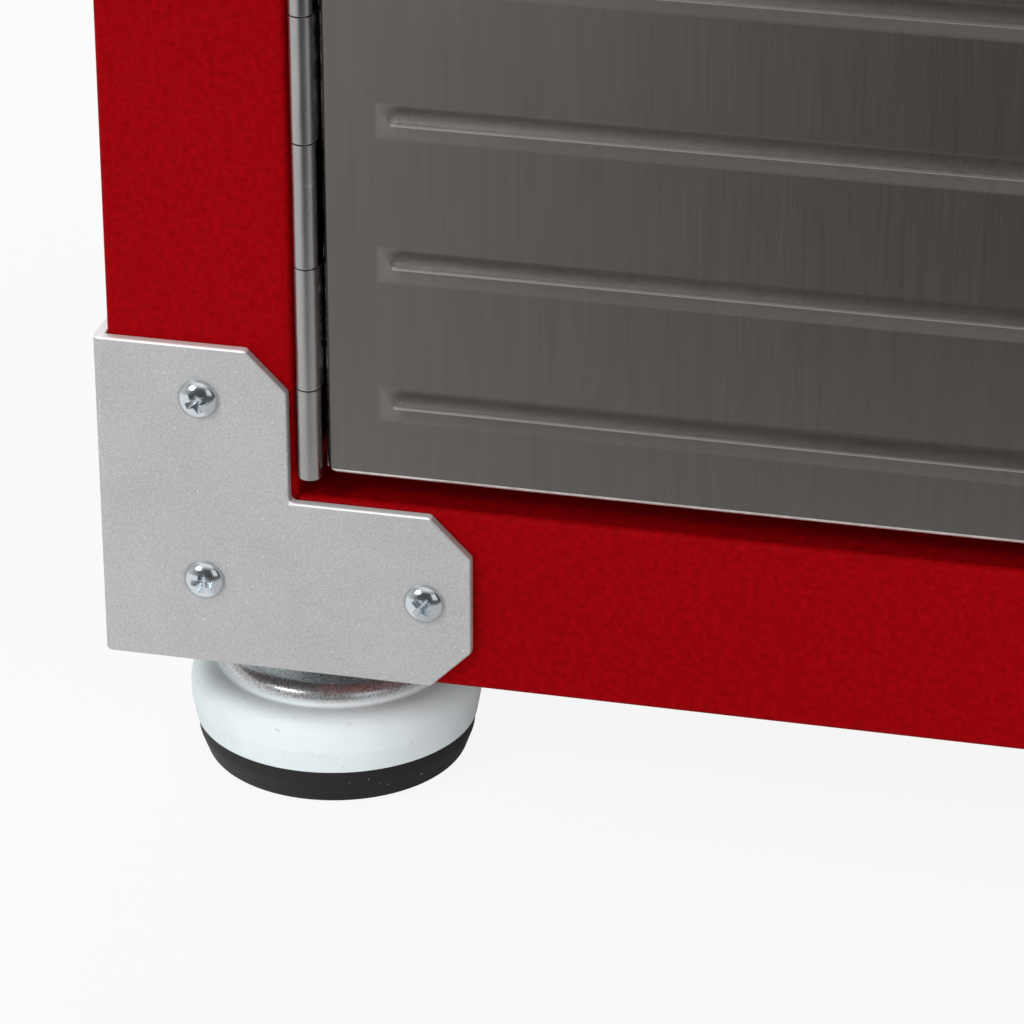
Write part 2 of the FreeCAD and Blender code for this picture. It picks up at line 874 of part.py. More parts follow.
def door_pan(name, side):
    """Painted inner tray that closes the back of a door, nested inside the skin's edges."""
    body = new_body(f"{name}_door_inner_pan")
    outer, inner = door_span(side)
    inset = side * size("door_sheet")
    low = (outer - inset, door_low + size("door_sheet"))
    high = (inner + inset, door_high - size("door_sheet"))
    sketch = new_sketch(body, "front", door_rear)
    rectangle(sketch, low, high)
    pad(body, sketch, size("pan_depth"))
    sketch = new_sketch(body, "front", door_rear - size("pan_depth"))
    rectangle(
        sketch,
        (low[0] - inset, low[1] + size("door_sheet")),
        (high[0] + inset, high[1] - size("door_sheet")),
    )
    pocket(body, sketch, size("pan_depth") - size("door_sheet"))
    door_holes(body, side, door_rear, size("door_sheet") * 3)


def handle(name, side):
    """Straight bar on two stand-offs that stand on the flats between ribs."""
    body = new_body(f"{name}_door_handle")
    bar_y = front - size("bar_reach")
    sketch = new_sketch(body, "top", handle_low - size("bar_overhang"))
    circle(sketch, (handle_x(side), bar_y), size("bar_radius"))
    pad(body, sketch, handle_high - handle_low + size("bar_overhang") * 2)
    sketch = new_sketch(body, "front", front)
    for height in (handle_low, handle_high):
        circle(sketch, (handle_x(side), height), size("stand_radius"))
    pad(body, sketch, size("bar_reach"))
    sketch = new_sketch(body, "front", front)
    for height in (handle_low, handle_high):
        circle(sketch, (handle_x(side), height), size("screw_shank") + size("thread_clearance"))
    pocket(body, sketch, size("bar_reach") / 2, reverse=True)


def handle_screws(name, side):
    """Screws from inside the door into the handle's stand-offs."""
    points = head_profile((size("door_depth") + size("bar_reach") / 3).number)
    shapes = []
    for height in (handle_low, handle_high):
        spot = Vector(handle_x(side).number, door_rear.number, height.number)
        shapes.append(turned(points, spot, Vector(0, 1, 0)))
    group(f"{name}_handle_screws", shapes)


def strike(name, side):
    """Steel plate at the top of the inner pan for the magnetic catch."""
    body = new_body(f"{name}_door_strike")
    middle = side * size("catch_inset")
    half = size("catch_width") / 2
    high = door_high - size("door_sheet")
    sketch = new_sketch(body, "front", door_rear)
    rectangle(sketch, (middle - half, high - size("strike_height")), (middle + half, high))
    pad(body, sketch, size("strike_sheet"), reverse=True)
    round_edges(body, size("strike_corner"), lambda spot, way: near(abs(way.y), 1))


def catches():
    """Two magnetic catches under the top rail, each with two pole plates in a housing."""
    shapes = []
    face = (door_rear + size("strike_sheet") + size("strike_gap")).number
    wide = size("catch_width").number
    tall = size("catch_height").number
    deep = size("catch_depth").number
    plate = size("strike_sheet").number
    for side in SIDES.values():
        left = side * size("catch_inset").number - wide / 2
        low = head.number - tall
        housing = Part.makeBox(wide, deep, tall, Vector(left, face, low))
        groove = Part.makeBox(wide - plate * 6, plate, tall, Vector(left + plate * 3, face, low + plate * 3))
        slot = Part.makeBox(wide - plate * 6, plate, plate, Vector(left + plate * 3, face, low + plate))
        shapes.append(housing.cut(groove).cut(slot))
    group("magnetic_catches", shapes)


# Lock in the right door

def lock_barrel():
    """Fixed shell of the lock, with its bezel in front of the door."""
    body = new_body("lock_barrel")
    sketch = new_sketch(body, "front", front)
    circle(sketch, (lock_x, lock_z), size("bezel_radius"))
    pad(body, sketch, size("bezel_rise"))
    sketch = new_sketch(body, "front", front)
    circle(sketch, (lock_x, lock_z), size("barrel_body"))
    pad(body, sketch, size("barrel_length"), reverse=True)
    sketch = new_sketch(body, "front", front)
    circle(sketch, (lock_x, lock_z), size("plug_radius") + size("plug_clearance"))
    pocket(body, sketch)


def lock_nut():
    """Round nut that clamps the barrel to the inner pan."""
    body = new_body("lock_nut")
    sketch = new_sketch(body, "front", door_rear)
    circle(sketch, (lock_x, lock_z), size("lock_nut_radius"))
    circle(sketch, (lock_x, lock_z), size("barrel_body") + size("thread_clearance"))
    pad(body, sketch, size("lock_nut_depth"), reverse=True)


def lock_plug():
    """Turning plug with a keyway in its face."""
    body = new_body("lock_plug")
    sketch = new_sketch(body, "front", front - size("bezel_rise"))
    circle(sketch, (lock_x, lock_z), size("plug_radius"))
    pad(body, sketch, size("bezel_rise") + size("barrel_length") + size("cam_gap"), reverse=True)
    sketch = new_sketch(body, "front", front - size("bezel_rise"))
    tall = size("keyway_height") / 2
    thin = size("keyway_width") / 2
    rectangle(sketch, (lock_x - thin, lock_z - tall), (lock_x + thin, lock_z + tall))
    pocket(body, sketch, size("plug_radius"))


def lock_cam():
    """Flat cam on the back of the plug; unlocked it lies along the door's top, locked it points up."""
    body = new_body("lock_cam")
    half = size("cam_width") / 2
    sketch = new_sketch(body, "front", cam_front)
    rectangle(sketch, (lock_x - half, lock_z - half), (lock_x + size("cam_reach"), lock_z + half))
    circle(sketch, (lock_x, lock_z), size("screw_shank") + size("thread_clearance"))
    pad(body, sketch, size("cam_sheet"), reverse=True)
    ends = (lock_x - half, lock_x + size("cam_reach"))
    round_edges(
        body, size("cam_corner"),
        lambda spot, way: near(abs(way.y), 1) and (near(spot.x, ends[0]) or near(spot.x, ends[1])),
    )


def cam_screw():
    """Screw that holds the cam to the plug."""
    spot = Vector(lock_x.number, (cam_front + size("cam_sheet")).number, lock_z.number)
    points = head_profile(size("cam_sheet").number)
    group("cam_screw", [turned(points, spot, Vector(0, 1, 0))])


# Shelves

upright_low = sill - wall + size("upright_foot_gap")
upright_high = head - size("upright_top_gap")
slot_base = upright_low + size("slot_first")


def upright_place(end_name):
    """Y of the middle of the front or rear uprights."""
    return along(ENDS[end_name], size(f"upright_{end_name}"))


def uprights(name, side):
    """Slotted channels on the side wall, front and rear, for the shelf clips."""
    bodies = []
    for end_name in ENDS:
        body = doc.addObject("PartDesign::Body", f"{name}_{end_name}_upright")
        middle = upright_place(end_name)
        half = size("upright_width") / 2
        deep = wall + size("upright_depth")
        section = [
            (wall, -half), (deep, -half), (deep, half), (wall, half), (wall, half - wall),
            (deep - wall, half - wall), (deep - wall, wall - half), (wall, wall - half),
        ]
        sketch = new_sketch(body, "top", upright_low)
        outline(sketch, [(across(side, x), middle + y) for x, y in section])
        pad(body, sketch, upright_high - upright_low)
        sketch = new_sketch(body, "side", across(side, deep - wall / 2))
        rectangle(
            sketch,
            (middle - size("slot_width") / 2, slot_base),
            (middle + size("slot_width") / 2, slot_base + size("slot_height")),
        )
        slot = pocket(body, sketch, wall * 2, both=True)
        span = upright_high - slot_base - size("slot_height")
        count = Measure(
            span.number // size("slot_pitch").number + 1,
            f"floor({(span / size('slot_pitch')).formula}) + 1",
        )
        repeat(body, slot, "Z_Axis", size("slot_pitch"), count)
        bodies.append(body)
    pair = doc.addObject("Part::Compound", f"{name}_shelf_uprights")
    pair.Label = f"{name}_shelf_uprights"
    pair.Links = bodies
    made.append(pair)
    doc.recompute()


def clip_height(level):
    """Underside of a shelf whose clips hang in the given slot."""
    return slot_base + size("slot_pitch") * size(f"{level}_slot") + size("clip_height")


def clips(level):
    """Four shelf clips: a tongue through the slot with a hook behind, and an arm under the shelf."""
    shapes = []
    high = clip_height(level).number
    low = high - size("clip_height").number
    face = (wall + size("upright_depth")).number
    inside = face - wall.number
    hook = size("clip_hook").number
    heel = size("clip_heel").number
    arm = face + size("clip_reach").number
    slack = size("screw_clearance").number
    thick = size("clip_sheet").number
    behind = inside - slack
    section = [
        (behind - hook, low - heel), (behind, low - heel), (behind, low), (face, low),
        (face, low - heel), (face + heel, low - heel), (arm, high - heel), (arm, high),
        (behind - hook, high),
    ]
    for side in SIDES.values():
        for end_name in ENDS:
            y = upright_place(end_name).number - thick / 2
            points = [Vector(across(side, x).number, y, z) for x, z in section]
            face_shape = Part.Face(Part.makePolygon(points + points[:1]))
            shapes.append(face_shape.extrude(Vector(0, thick, 0)))
    group(f"{level}_shelf_clips", shapes)


def shelf(level):
    """Folded shelf, open at its ends, resting on its clips."""
    body = new_body(f"{level}_shelf")
    under = clip_height(level)
    skin = size("shelf_sheet")
    high = under + skin
    low = high - size("shelf_flange")
    first = front + size("shelf_front")
    last = back - size("shelf_rear")
    lip = size("shelf_lip")
    inset = wall + size("upright_depth") + size("shelf_side_gap")
    sketch = new_sketch(body, "side", across(-1, inset))
    outline(sketch, [
        (first, high), (first, low), (first + lip, low), (first + lip, low + skin),
        (first + skin, low + skin), (first + skin, under), (last - skin, under),
        (last - skin, low + skin), (last - lip, low + skin), (last - lip, low), (last, low), (last, high),
    ])
    pad(body, sketch, size("body_width") - inset * 2)


# Levelling feet

cup_shoulder = size("pad_height") + size("cup_wall")
cup_top = cup_shoulder + size("boss_rise")
plate_low = base + wall


def foot_places():
    """Name, X and Y of each foot's axis."""
    for end_name, end in ENDS.items():
        for side_name, side in SIDES.items():
            yield f"{end_name}_{side_name}", across(side, size("foot_inset")), along(end, size("foot_inset"))


def turned_body(label, place, points):
    """A body turned about an upright axis; points are (radius, height)."""
    body = new_body(label)
    sketch = new_sketch(body, "front", 0)
    bind(sketch, "AttachmentOffset.Base.x", place[0])
    bind(sketch, "AttachmentOffset.Base.z", -place[1])
    outline(sketch, points)
    revolve(body, sketch)
    return body


def foot_cup(label, place):
    """Pressed cup: a wall that widens a little upwards, a level shoulder and a round raised boss."""
    rim = size("pad_height")
    skin = size("cup_sheet")
    rim_radius = size("cup_rim_radius")
    wide = size("cup_radius")
    boss = size("boss_radius")
    hole = size("journal_radius") + size("journal_clearance")
    flared = rim + size("cup_flare")
    body = turned_body(label, place, [
        (rim_radius - skin, rim), (rim_radius, rim), (wide, flared), (wide, cup_shoulder),
        (boss, cup_shoulder), (boss, cup_top), (hole, cup_top), (hole, cup_top - skin),
        (boss - skin, cup_top - skin), (boss - skin, cup_shoulder - skin),
        (wide - skin, cup_shoulder - skin), (wide - skin, flared),
    ])
    round_rings(body, size("cup_round"), [(wide, cup_shoulder)])
    round_rings(body, size("boss_round"), [(boss, cup_top)])
    round_rings(body, size("boss_fillet"), [(boss, cup_shoulder)])


def foot_pad(label, place):
    """Rubber pad: a tread under the cup's rim and a plug that fills the cup up to its boss."""
    rim = size("pad_height")
    skin = size("cup_sheet")
    slack = size("pad_gap")
    plug = size("cup_rim_radius") - skin - slack
    core = size("boss_radius") - skin - slack
    shoulder = cup_shoulder - skin - slack
    high = cup_top - skin
    room = size("journal_head") + slack * 3
    room_low = high - size("journal_head_height") - slack * 3
    body = turned_body(label, place, [
        (0, 0), (size("pad_radius"), 0), (size("pad_radius"), rim), (plug, rim), (plug, shoulder),
        (core, shoulder), (core, high), (room, high), (room, room_low), (0, room_low),
    ])
    round_rings(body, size("pad_round"), [(size("pad_radius"), 0)])


def foot_stud(label, place):
    """Stud with a headed journal under the cup's boss and a collar above it."""
    play = size("pad_gap") / 3
    shank = size("stud_radius")
    journal = size("journal_radius")
    flange = size("journal_head")
    collar = size("collar_radius")
    neck_low = cup_top - size("cup_sheet") - play
    seat = cup_top + play
    neck_high = seat + size("collar_height")
    tip = seat + size("stud_length")
    turned_body(label, place, [
        (0, neck_low - size("journal_head_height")), (flange, neck_low - size("journal_head_height")),
        (flange, neck_low), (journal, neck_low), (journal, seat), (collar, seat), (collar, neck_high),
        (shank, neck_high), (shank, tip), (0, tip),
    ])


def hex_nut(x, y, low, height):
    """Hexagon nut with a plain bore for the stud."""
    reach = size("nut_flats").number / math.sqrt(3)
    corners = []
    for turn in range(7):
        angle = math.pi / 3 * turn
        corners.append(Vector(x + reach * math.cos(angle), y + reach * math.sin(angle), low))
    solid = Part.Face(Part.makePolygon(corners)).extrude(Vector(0, 0, height))
    bore = (size("stud_radius") + size("thread_clearance")).number
    return solid.cut(Part.makeCylinder(bore, height, Vector(x, y, low)))


def foot_nuts():
    """Weld nuts on the foot plates and jam nuts under them."""
    rows = {
        "foot_weld_nuts": (plate_low + size("plate_sheet"), size("weld_nut_height")),
        "foot_jam_nuts": (plate_low - size("jam_nut_height"), size("jam_nut_height")),
    }
    for label, (low, height) in rows.items():
        nuts = [hex_nut(x.number, y.number, low.number, height.number) for _, x, y in foot_places()]
        group(label, nuts)


def foot_plates():
    """Thick angle plates in the bottom corners that carry the feet."""
    bodies = []
    for end_name, end in ENDS.items():
        for side_name, side in SIDES.items():
            body = doc.addObject("PartDesign::Body", f"{end_name}_{side_name}_foot_plate")
            skin = size("plate_sheet")
            flange = plate_low + size("plate_flange")
            section = [
                (wall, plate_low), (size("plate_width"), plate_low), (size("plate_width"), plate_low + skin),
                (wall * 2 + skin, plate_low + skin), (wall * 2 + skin, flange), (wall * 2, flange),
                (wall * 2, plate_low + skin), (wall, plate_low + skin),
            ]
            start = size("post_return") if end < 0 else wall * 2
            sketch = new_sketch(body, "front", along(end, start))
            outline(sketch, [(across(side, x), z) for x, z in section])
            pad(body, sketch, size("plate_length"), reverse=end < 0)
            sketch = new_sketch(body, "top", plate_low)
            place = (across(side, size("foot_inset")), along(end, size("foot_inset")))
            circle(sketch, place, size("stud_radius") + size("thread_clearance"))
            pocket(body, sketch, skin, reverse=True)
            sketch = new_sketch(body, "side", across(side, wall * 2 + skin / 2))
            bracket_holes(sketch, lambda inset: along(end, inset), brace_base, low_screws, hole_radius)
            pocket(body, sketch, skin * 2, both=True)
            bodies.append(body)
    plates = doc.addObject("Part::Compound", "foot_plates")
    plates.Label = "foot_plates"
    plates.Links = bodies
    made.append(plates)
    doc.recompute()


# Assembly

for side_name, side in SIDES.items():
    side_panel(side_name, side)
    hinge_leaf(f"{side_name}_frame_hinge_leaf", side, inner=False)
    hinge_pin(side_name, side)
    uprights(side_name, side)
    door_skin(side_name, side)
    door_pan(side_name, side)
    hinge_leaf(f"{side_name}_door_hinge_leaf", side, inner=True)
    hinge_rivets(f"{side_name}_door_hinge_rivets", [side], inner=True)
    handle(side_name, side)
    handle_screws(side_name, side)
    strike(side_name, side)
    for end_name, end in ENDS.items():
        brace(end_name, end, side_name, side)
hinge_rivets("frame_hinge_rivets", SIDES.values(), inner=False)
bottom_rail()
top_rail()
floor_pan()
back_panel()
top_panel()
brace_screws()
catches()
lock_barrel()
lock_nut()
lock_plug()
lock_cam()
cam_screw()
for level in ("lower", "upper"):
    clips(level)
    shelf(level)
for foot_name, foot_x, foot_y in foot_places():
    foot_cup(f"{foot_name}_foot_cup", (foot_x, foot_y))
    foot_pad(f"{foot_name}_foot_pad", (foot_x, foot_y))
    foot_stud(f"{foot_name}_foot_stud", (foot_x, foot_y))
foot_nuts()
foot_plates()
doc.recompute()

# Checks and files

for item in doc.Objects:
    if "Invalid" in item.State or "Error" in item.State:
        raise ValueError(f"{item.Label} did not build: {item.State}")
for item in made:
    if item.Shape.isNull() or not item.Shape.isValid() or not item.Shape.Solids:
        raise ValueError(f"{item.Label} has no valid solid")

os.makedirs("parts", exist_ok=True)
for item in made:
    item.Shape.exportStep(f"parts/{item.Label}.step")
print(len(made), "pieces written")
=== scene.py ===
import math

import bmesh
import bpy
from mathutils import Matrix, Vector


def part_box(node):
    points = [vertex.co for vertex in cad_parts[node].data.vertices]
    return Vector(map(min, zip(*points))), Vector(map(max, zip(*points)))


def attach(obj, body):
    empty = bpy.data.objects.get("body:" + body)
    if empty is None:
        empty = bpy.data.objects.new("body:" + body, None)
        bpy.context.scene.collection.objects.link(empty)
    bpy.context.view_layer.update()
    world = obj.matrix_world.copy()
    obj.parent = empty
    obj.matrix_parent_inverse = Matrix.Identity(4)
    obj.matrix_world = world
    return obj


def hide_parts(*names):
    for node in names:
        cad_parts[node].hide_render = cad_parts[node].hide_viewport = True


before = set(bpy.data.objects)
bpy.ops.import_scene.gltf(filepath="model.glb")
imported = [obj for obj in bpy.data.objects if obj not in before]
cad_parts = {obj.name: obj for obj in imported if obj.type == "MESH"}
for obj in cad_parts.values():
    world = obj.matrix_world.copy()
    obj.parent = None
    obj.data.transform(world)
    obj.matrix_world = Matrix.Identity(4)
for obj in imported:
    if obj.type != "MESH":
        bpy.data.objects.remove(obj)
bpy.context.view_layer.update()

MM = 0.001

# Two-door tool cabinet, in the order it is put together: the studio, the red sheet carcass with its foot
# plates, the corner braces and their screws, the hinges, the doors with their handles, catches and lock,
# the shelves, and the levelling feet.


# Camera. The photograph looks down at the cabinet's lower left corner from about 0.9 m away and a little to
# the right, through a long lens, so that only the corner is in the frame.
camera_place = Vector((-95.14, -960.52, 452.11)) * MM
camera_azimuth = math.radians(13.48)
camera_elevation = math.radians(26.08)
towards_camera = Vector((
    math.sin(camera_azimuth) * math.cos(camera_elevation),
    -math.cos(camera_azimuth) * math.cos(camera_elevation),
    math.sin(camera_elevation),
))
bpy.ops.object.select_all(action="DESELECT")
bpy.ops.object.camera_add(location=camera_place)
camera = bpy.context.object
camera.rotation_mode = "QUATERNION"
camera.rotation_quaternion = (-towards_camera).to_track_quat("-Z", "Y")
camera.data.sensor_width = 36
camera.data.lens = 155.43
camera.data.clip_start = 0.01
camera.data.clip_end = 50
bpy.context.scene.camera = camera
bpy.context.scene.view_settings.view_transform = "Standard"


# Studio. A white paper floor that keeps the cabinet's shadow, in a white surround. The key lamp is at the
# upper left in front, with a weak fill at the right, two low lamps for what is near the floor, and a lamp
# behind for the lid and the back.
class Signal:
    """A number that varies over a surface. Arithmetic on it adds Math nodes."""

    def __init__(self, finish, socket):
        self.finish = finish
        self.socket = socket

    def combined(self, operation, first, second):
        return self.finish.node("ShaderNodeMath", {"operation": operation}, {0: first, 1: second})

    def __add__(self, other):
        return self.combined("ADD", self, other)

    def __radd__(self, other):
        return self.combined("ADD", other, self)

    def __sub__(self, other):
        return self.combined("SUBTRACT", self, other)

    def __rsub__(self, other):
        return self.combined("SUBTRACT", other, self)

    def __mul__(self, other):
        return self.combined("MULTIPLY", self, other)

    def __rmul__(self, other):
        return self.combined("MULTIPLY", other, self)

    def at_most(self, other):
        return self.combined("MINIMUM", self, other)

    def at_least(self, other):
        return self.combined("MAXIMUM", self, other)

    def over(self, other):
        return self.combined("GREATER_THAN", self, other)

    def size(self):
        """The value without its sign."""
        return self.at_least(0 - self)

    def ramp(self, low, high):
        """0 below one value, 1 above another, and even between them."""
        return ((self - low) * (1 / (high - low))).at_least(0).at_most(1)


class Finish:
    """A material, or the world's light, under construction."""

    def __init__(self, name, owner=None):
        self.owner = owner or bpy.data.materials.new(name)
        self.owner.use_nodes = True
        self.tree = self.owner.node_tree

    def node(self, kind, settings, inputs, output=0):
        """Adds a node; settings come first, then the values or links of its sockets."""
        made = self.tree.nodes.new(kind)
        for name, value in settings.items():
            setattr(made, name, value)
        for name, value in inputs.items():
            self.feed(made.inputs[name], value)
        return Signal(self, made.outputs[output])

    def feed(self, socket, value):
        """Links a signal to a socket, or sets the socket's own value."""
        if isinstance(value, Signal):
            self.tree.links.new(value.socket, socket)
        else:
            socket.default_value = value

    def place(self, stretch=(1, 1, 1)):
        """Object coordinates, stretched along each axis."""
        where = self.node("ShaderNodeTexCoord", {}, {}, "Object")
        return self.node("ShaderNodeMapping", {}, {"Vector": where, "Scale": stretch})

    def along(self, where, axis_name):
        """One coordinate of a place: X, Y or Z."""
        return self.node("ShaderNodeSeparateXYZ", {}, {0: where}, axis_name)

    def noise(self, where, scale, detail=3, roughness=0.55):
        """Soft noise from 0 to 1."""
        return self.node(
            "ShaderNodeTexNoise", {},
            {"Vector": where, "Scale": scale, "Detail": detail, "Roughness": roughness},
        )

    def rays(self):
        """Masks of rays from the camera, off a glossy surface, and through a clear one."""
        kinds = ("Is Camera Ray", "Is Glossy Ray", "Is Transmission Ray")
        return [self.node("ShaderNodeLightPath", {}, {}, kind) for kind in kinds]

    def blend(self, amount, low, high):
        """A colour between two colours."""
        return self.node("ShaderNodeMix", {"data_type": "RGBA"}, {0: amount, 6: low, 7: high}, 2)

    def surface(self, **inputs):
        """Sets the shader's own sockets; an underscore stands for a space."""
        for name, value in inputs.items():
            self.feed(self.tree.nodes["Principled BSDF"].inputs[name.replace("_", " ")], value)

    def bump(self, height, strength, distance):
        """A normal from a height pattern; the distance is in metres."""
        return self.node(
            "ShaderNodeBump", {}, {"Height": height, "Strength": strength, "Distance": distance}, "Normal",
        )


def linear(red, green, blue):
    """A shader colour from screen values of 0 to 255."""
    parts = []
    for value in (red, green, blue):
        value = value / 255
        parts.append(value / 12.92 if value <= 0.04045 else ((value + 0.055) / 1.055) ** 2.4)
    return (*parts, 1)


def lamp(name, place, target, width, height, power):
    """A soft rectangular lamp aimed at a point. The camera doesn't see it."""
    bpy.ops.object.light_add(type="AREA", location=place)
    light = bpy.context.object
    light.name = name
    light.data.shape = "RECTANGLE"
    light.data.size = width
    light.data.size_y = height
    light.data.energy = power
    light.rotation_mode = "QUATERNION"
    light.rotation_quaternion = (Vector(target) - Vector(place)).to_track_quat("-Z", "Y")
    light.visible_camera = False
    return light


white = (1, 1, 1, 1)
paper_white = (0.85, 0.85, 0.85, 1)
paper_glow = 0.9
shadow_depth = 0.72
# Painted reflection: the grey that the floor shows only to reflected rays in front, standing in for a darker
# room.
painted_reflection_grey = (0.05, 0.05, 0.05, 1)
bpy.ops.object.select_all(action="DESELECT")
bpy.ops.mesh.primitive_plane_add(size=30)
floor = bpy.context.object
floor.name = "studio_floor"
paper = Finish("studio_paper")
paper.surface(Base_Color=paper_white, Roughness=0.9, Specular_IOR_Level=0.1)
floor_x = paper.along(paper.place(), "X")
floor_y = paper.along(paper.place(), "Y")
# Metal shows the white paper at the left, a painted reflection of a darker room in front, and the cabinet's
# own shadow close by.
# The places on the floor are in metres.
reflection_front = -0.29
reflection_left = -0.5
shadow_front = -0.41
shadow_back = 0.2
shadow_left = -0.335
painted_room_reflection = (reflection_front - floor_y).ramp(0, 0.22) * (floor_x - reflection_left).ramp(0, 0.24)
shadow = (floor_y - shadow_front).ramp(0, 0.1) * (shadow_back - floor_y).ramp(0, 0.04)
shadow = shadow * (floor_x - shadow_left).ramp(0, 0.02)
seen, reflected, passed = paper.rays()
glow = paper.node(
    "ShaderNodeEmission", {}, {"Color": paper.blend(painted_room_reflection * reflected, white, painted_reflection_grey), "Strength": 1.0},
)
shown = seen * paper_glow + reflected * (paper_glow - shadow * shadow_depth) + passed * paper_glow
lit = Signal(paper, paper.tree.nodes["Principled BSDF"].outputs[0])
paper_look = paper.node("ShaderNodeMixShader", {}, {0: shown.at_most(1), 1: lit, 2: glow})
paper.feed(paper.tree.nodes["Material Output"].inputs["Surface"], paper_look)
floor.data.materials.append(paper.owner)

# The surround is white behind the cabinet. Reflections also show a darker room at eye level in front.
surround_dark = (0.08, 0.08, 0.08, 1)
ambient = 0.4
world = bpy.data.worlds.new("studio_surround")
bpy.context.scene.world = world
air = Finish("studio_surround", world)
way = air.node("ShaderNodeTexCoord", {}, {}, "Generated")
overhead = air.along(way, "Z").ramp(0.62, 0.9)
at_left = (0 - air.along(way, "X")).ramp(0.45, 0.95) * 0.6
behind = air.along(way, "Y").ramp(-0.1, 0.5)
bright_parts = overhead.at_least(at_left).at_least(behind)
seen, reflected, passed = air.rays()
surround = air.tree.nodes["Background"]
air.feed(surround.inputs["Color"], air.blend(reflected * (1 - bright_parts), white, surround_dark))
air.feed(surround.inputs["Strength"], ambient + (seen + reflected + passed).at_most(1) * (1 - ambient))

lamp("key_lamp", (-1.8, -2.1, 1.8), (-0.3, -0.2, 0.2), 0.9, 0.9, 30)
lamp("fill_lamp", (2.2, -2.4, 1.6), (0.1, -0.2, 0.4), 2.0, 2.0, 10)
for name, place in {"low_left_lamp": (-0.9, -2.3, 0.4), "low_right_lamp": (1.3, -2.1, 0.4)}.items():
    low_lamp = lamp(name, place, (-0.25, -0.2, 0.05), 1.4, 0.5, 14)
    low_lamp.visible_glossy = False
lamp("back_lamp", (0.0, 2.6, 2.4), (0.0, 0.2, 0.5), 2.4, 1.6, 40)


# Carcass. Folded sheet steel: two side panels with their posts, two front rails, lid, back and floor,
# sprayed with a fine-textured red powder coat after folding.
red = Finish("red_powder_coat")
spot = red.place()
peel = red.noise(spot, 750, 3)
cloud = red.noise(spot, 14, 2)
red.surface(
    Base_Color=red.blend((peel * 1.7 - 0.45) * 0.75 + cloud * 0.25, linear(116, 0, 4), linear(158, 3, 11)),
    Roughness=0.5 + peel * 0.12,
    Specular_IOR_Level=0.03,
    Normal=red.bump(peel, 0.6, 0.0003),
)


def coat(finish, *nodes):
    """Gives CAD nodes a finished material."""
    for name in nodes:
        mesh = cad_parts[name].data
        mesh.materials.clear()
        mesh.materials.append(finish.owner)


def corners_of(node):
    """The lowest and highest corner of a CAD node."""
    return [Vector(corner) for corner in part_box(node)]


coat(red, "floor_pan", "back_panel", "left_door_inner_pan", "right_door_inner_pan")

SIDES = {"left": -1, "right": 1}
ENDS = {"front": -1, "rear": 1}
CLOSE = 0.01 * MM
post_low, post_high = corners_of("left_side_panel")
sill_low, sill_high = corners_of("bottom_front_rail")
head_low, head_high = corners_of("top_front_rail")
half_width = -post_low.x
front = post_low.y
back = post_high.y
base = post_low.z
wall = 1.2 * MM
fold_radius = 1.5 * MM
burr_width = 0.2 * MM


def begin(name, kind, place=(0, 0, 0), turn=(0, 0, 0), stretch=(1, 1, 1), **settings):
    """Adds a primitive at its real size and place, and opens its mesh with all of it selected."""
    bpy.ops.object.select_all(action="DESELECT")
    getattr(bpy.ops.mesh, f"primitive_{kind}_add")(location=place, rotation=turn, **settings)
    piece = bpy.context.object
    piece.name = name
    piece.scale = stretch
    bpy.ops.object.transform_apply(location=True, rotation=True, scale=True)
    bpy.ops.object.mode_set(mode="EDIT")
    bpy.ops.mesh.select_all(action="SELECT")
    return piece


def pick(kind, wanted):
    """Selects edges or faces by their middle point and their direction or normal."""
    bpy.ops.mesh.select_mode(type=kind)
    bpy.ops.mesh.select_all(action="DESELECT")
    mesh = bmesh.from_edit_mesh(bpy.context.object.data)
    if kind == "EDGE":
        rows = [(edge, (edge.verts[0].co + edge.verts[1].co) / 2, edge.verts[1].co - edge.verts[0].co)
                for edge in mesh.edges]
    else:
        rows = [(face, face.calc_center_median(), face.normal) for face in mesh.faces]
    for item, middle, way in rows:
        item.select_set(wanted(middle, way.normalized()))
    mesh.select_flush_mode()
    bmesh.update_edit_mesh(bpy.context.object.data)


def near(value, target):
    """True within a hundredth of a millimetre."""
    return abs(value - target) < CLOSE


def split(point, normal):
    """Cuts the whole open mesh along a plane and keeps both sides."""
    bpy.ops.mesh.select_all(action="SELECT")
    bpy.ops.mesh.bisect(plane_co=point, plane_no=normal)


def choose(piece):
    """Makes one piece the only selected one, in object mode."""
    if bpy.context.mode != "OBJECT":
        bpy.ops.object.mode_set(mode="OBJECT")
    bpy.ops.object.select_all(action="DESELECT")
    piece.select_set(True)
    bpy.context.view_layer.objects.active = piece


def change(piece, kind, **settings):
    """Adds a modifier and applies it."""
    choose(piece)
    modifier = piece.modifiers.new(kind.lower(), kind)
    for name, value in settings.items():
        setattr(modifier, name, value)
    bpy.ops.object.modifier_apply(modifier=modifier.name)


def thicken(piece, sheet):
    """Gives a skin its sheet thickness, inwards from its outer face."""
    change(piece, "SOLIDIFY", thickness=sheet, offset=-1, use_even_offset=True)


def soften(piece, width, segments=2):
    """Takes the sharpness off every hard edge."""
    change(
        piece, "BEVEL", width=width, segments=segments, limit_method="ANGLE", angle_limit=math.radians(40),
        harden_normals=False,
    )


def cut(piece, cutter):
    """Takes the cutter's shape out of a piece."""
    change(piece, "BOOLEAN", operation="DIFFERENCE", object=cutter, solver="EXACT")
    bpy.data.objects.remove(cutter)


def outwards(piece):
    """Merges double points and turns every face outwards."""
    choose(piece)
    bpy.ops.object.mode_set(mode="EDIT")
    bpy.ops.mesh.select_mode(type="VERT")
    bpy.ops.mesh.select_all(action="SELECT")
    bpy.ops.mesh.remove_doubles(threshold=0.002 * MM)
    bpy.ops.mesh.normals_make_consistent(inside=False)
    bpy.ops.object.mode_set(mode="OBJECT")


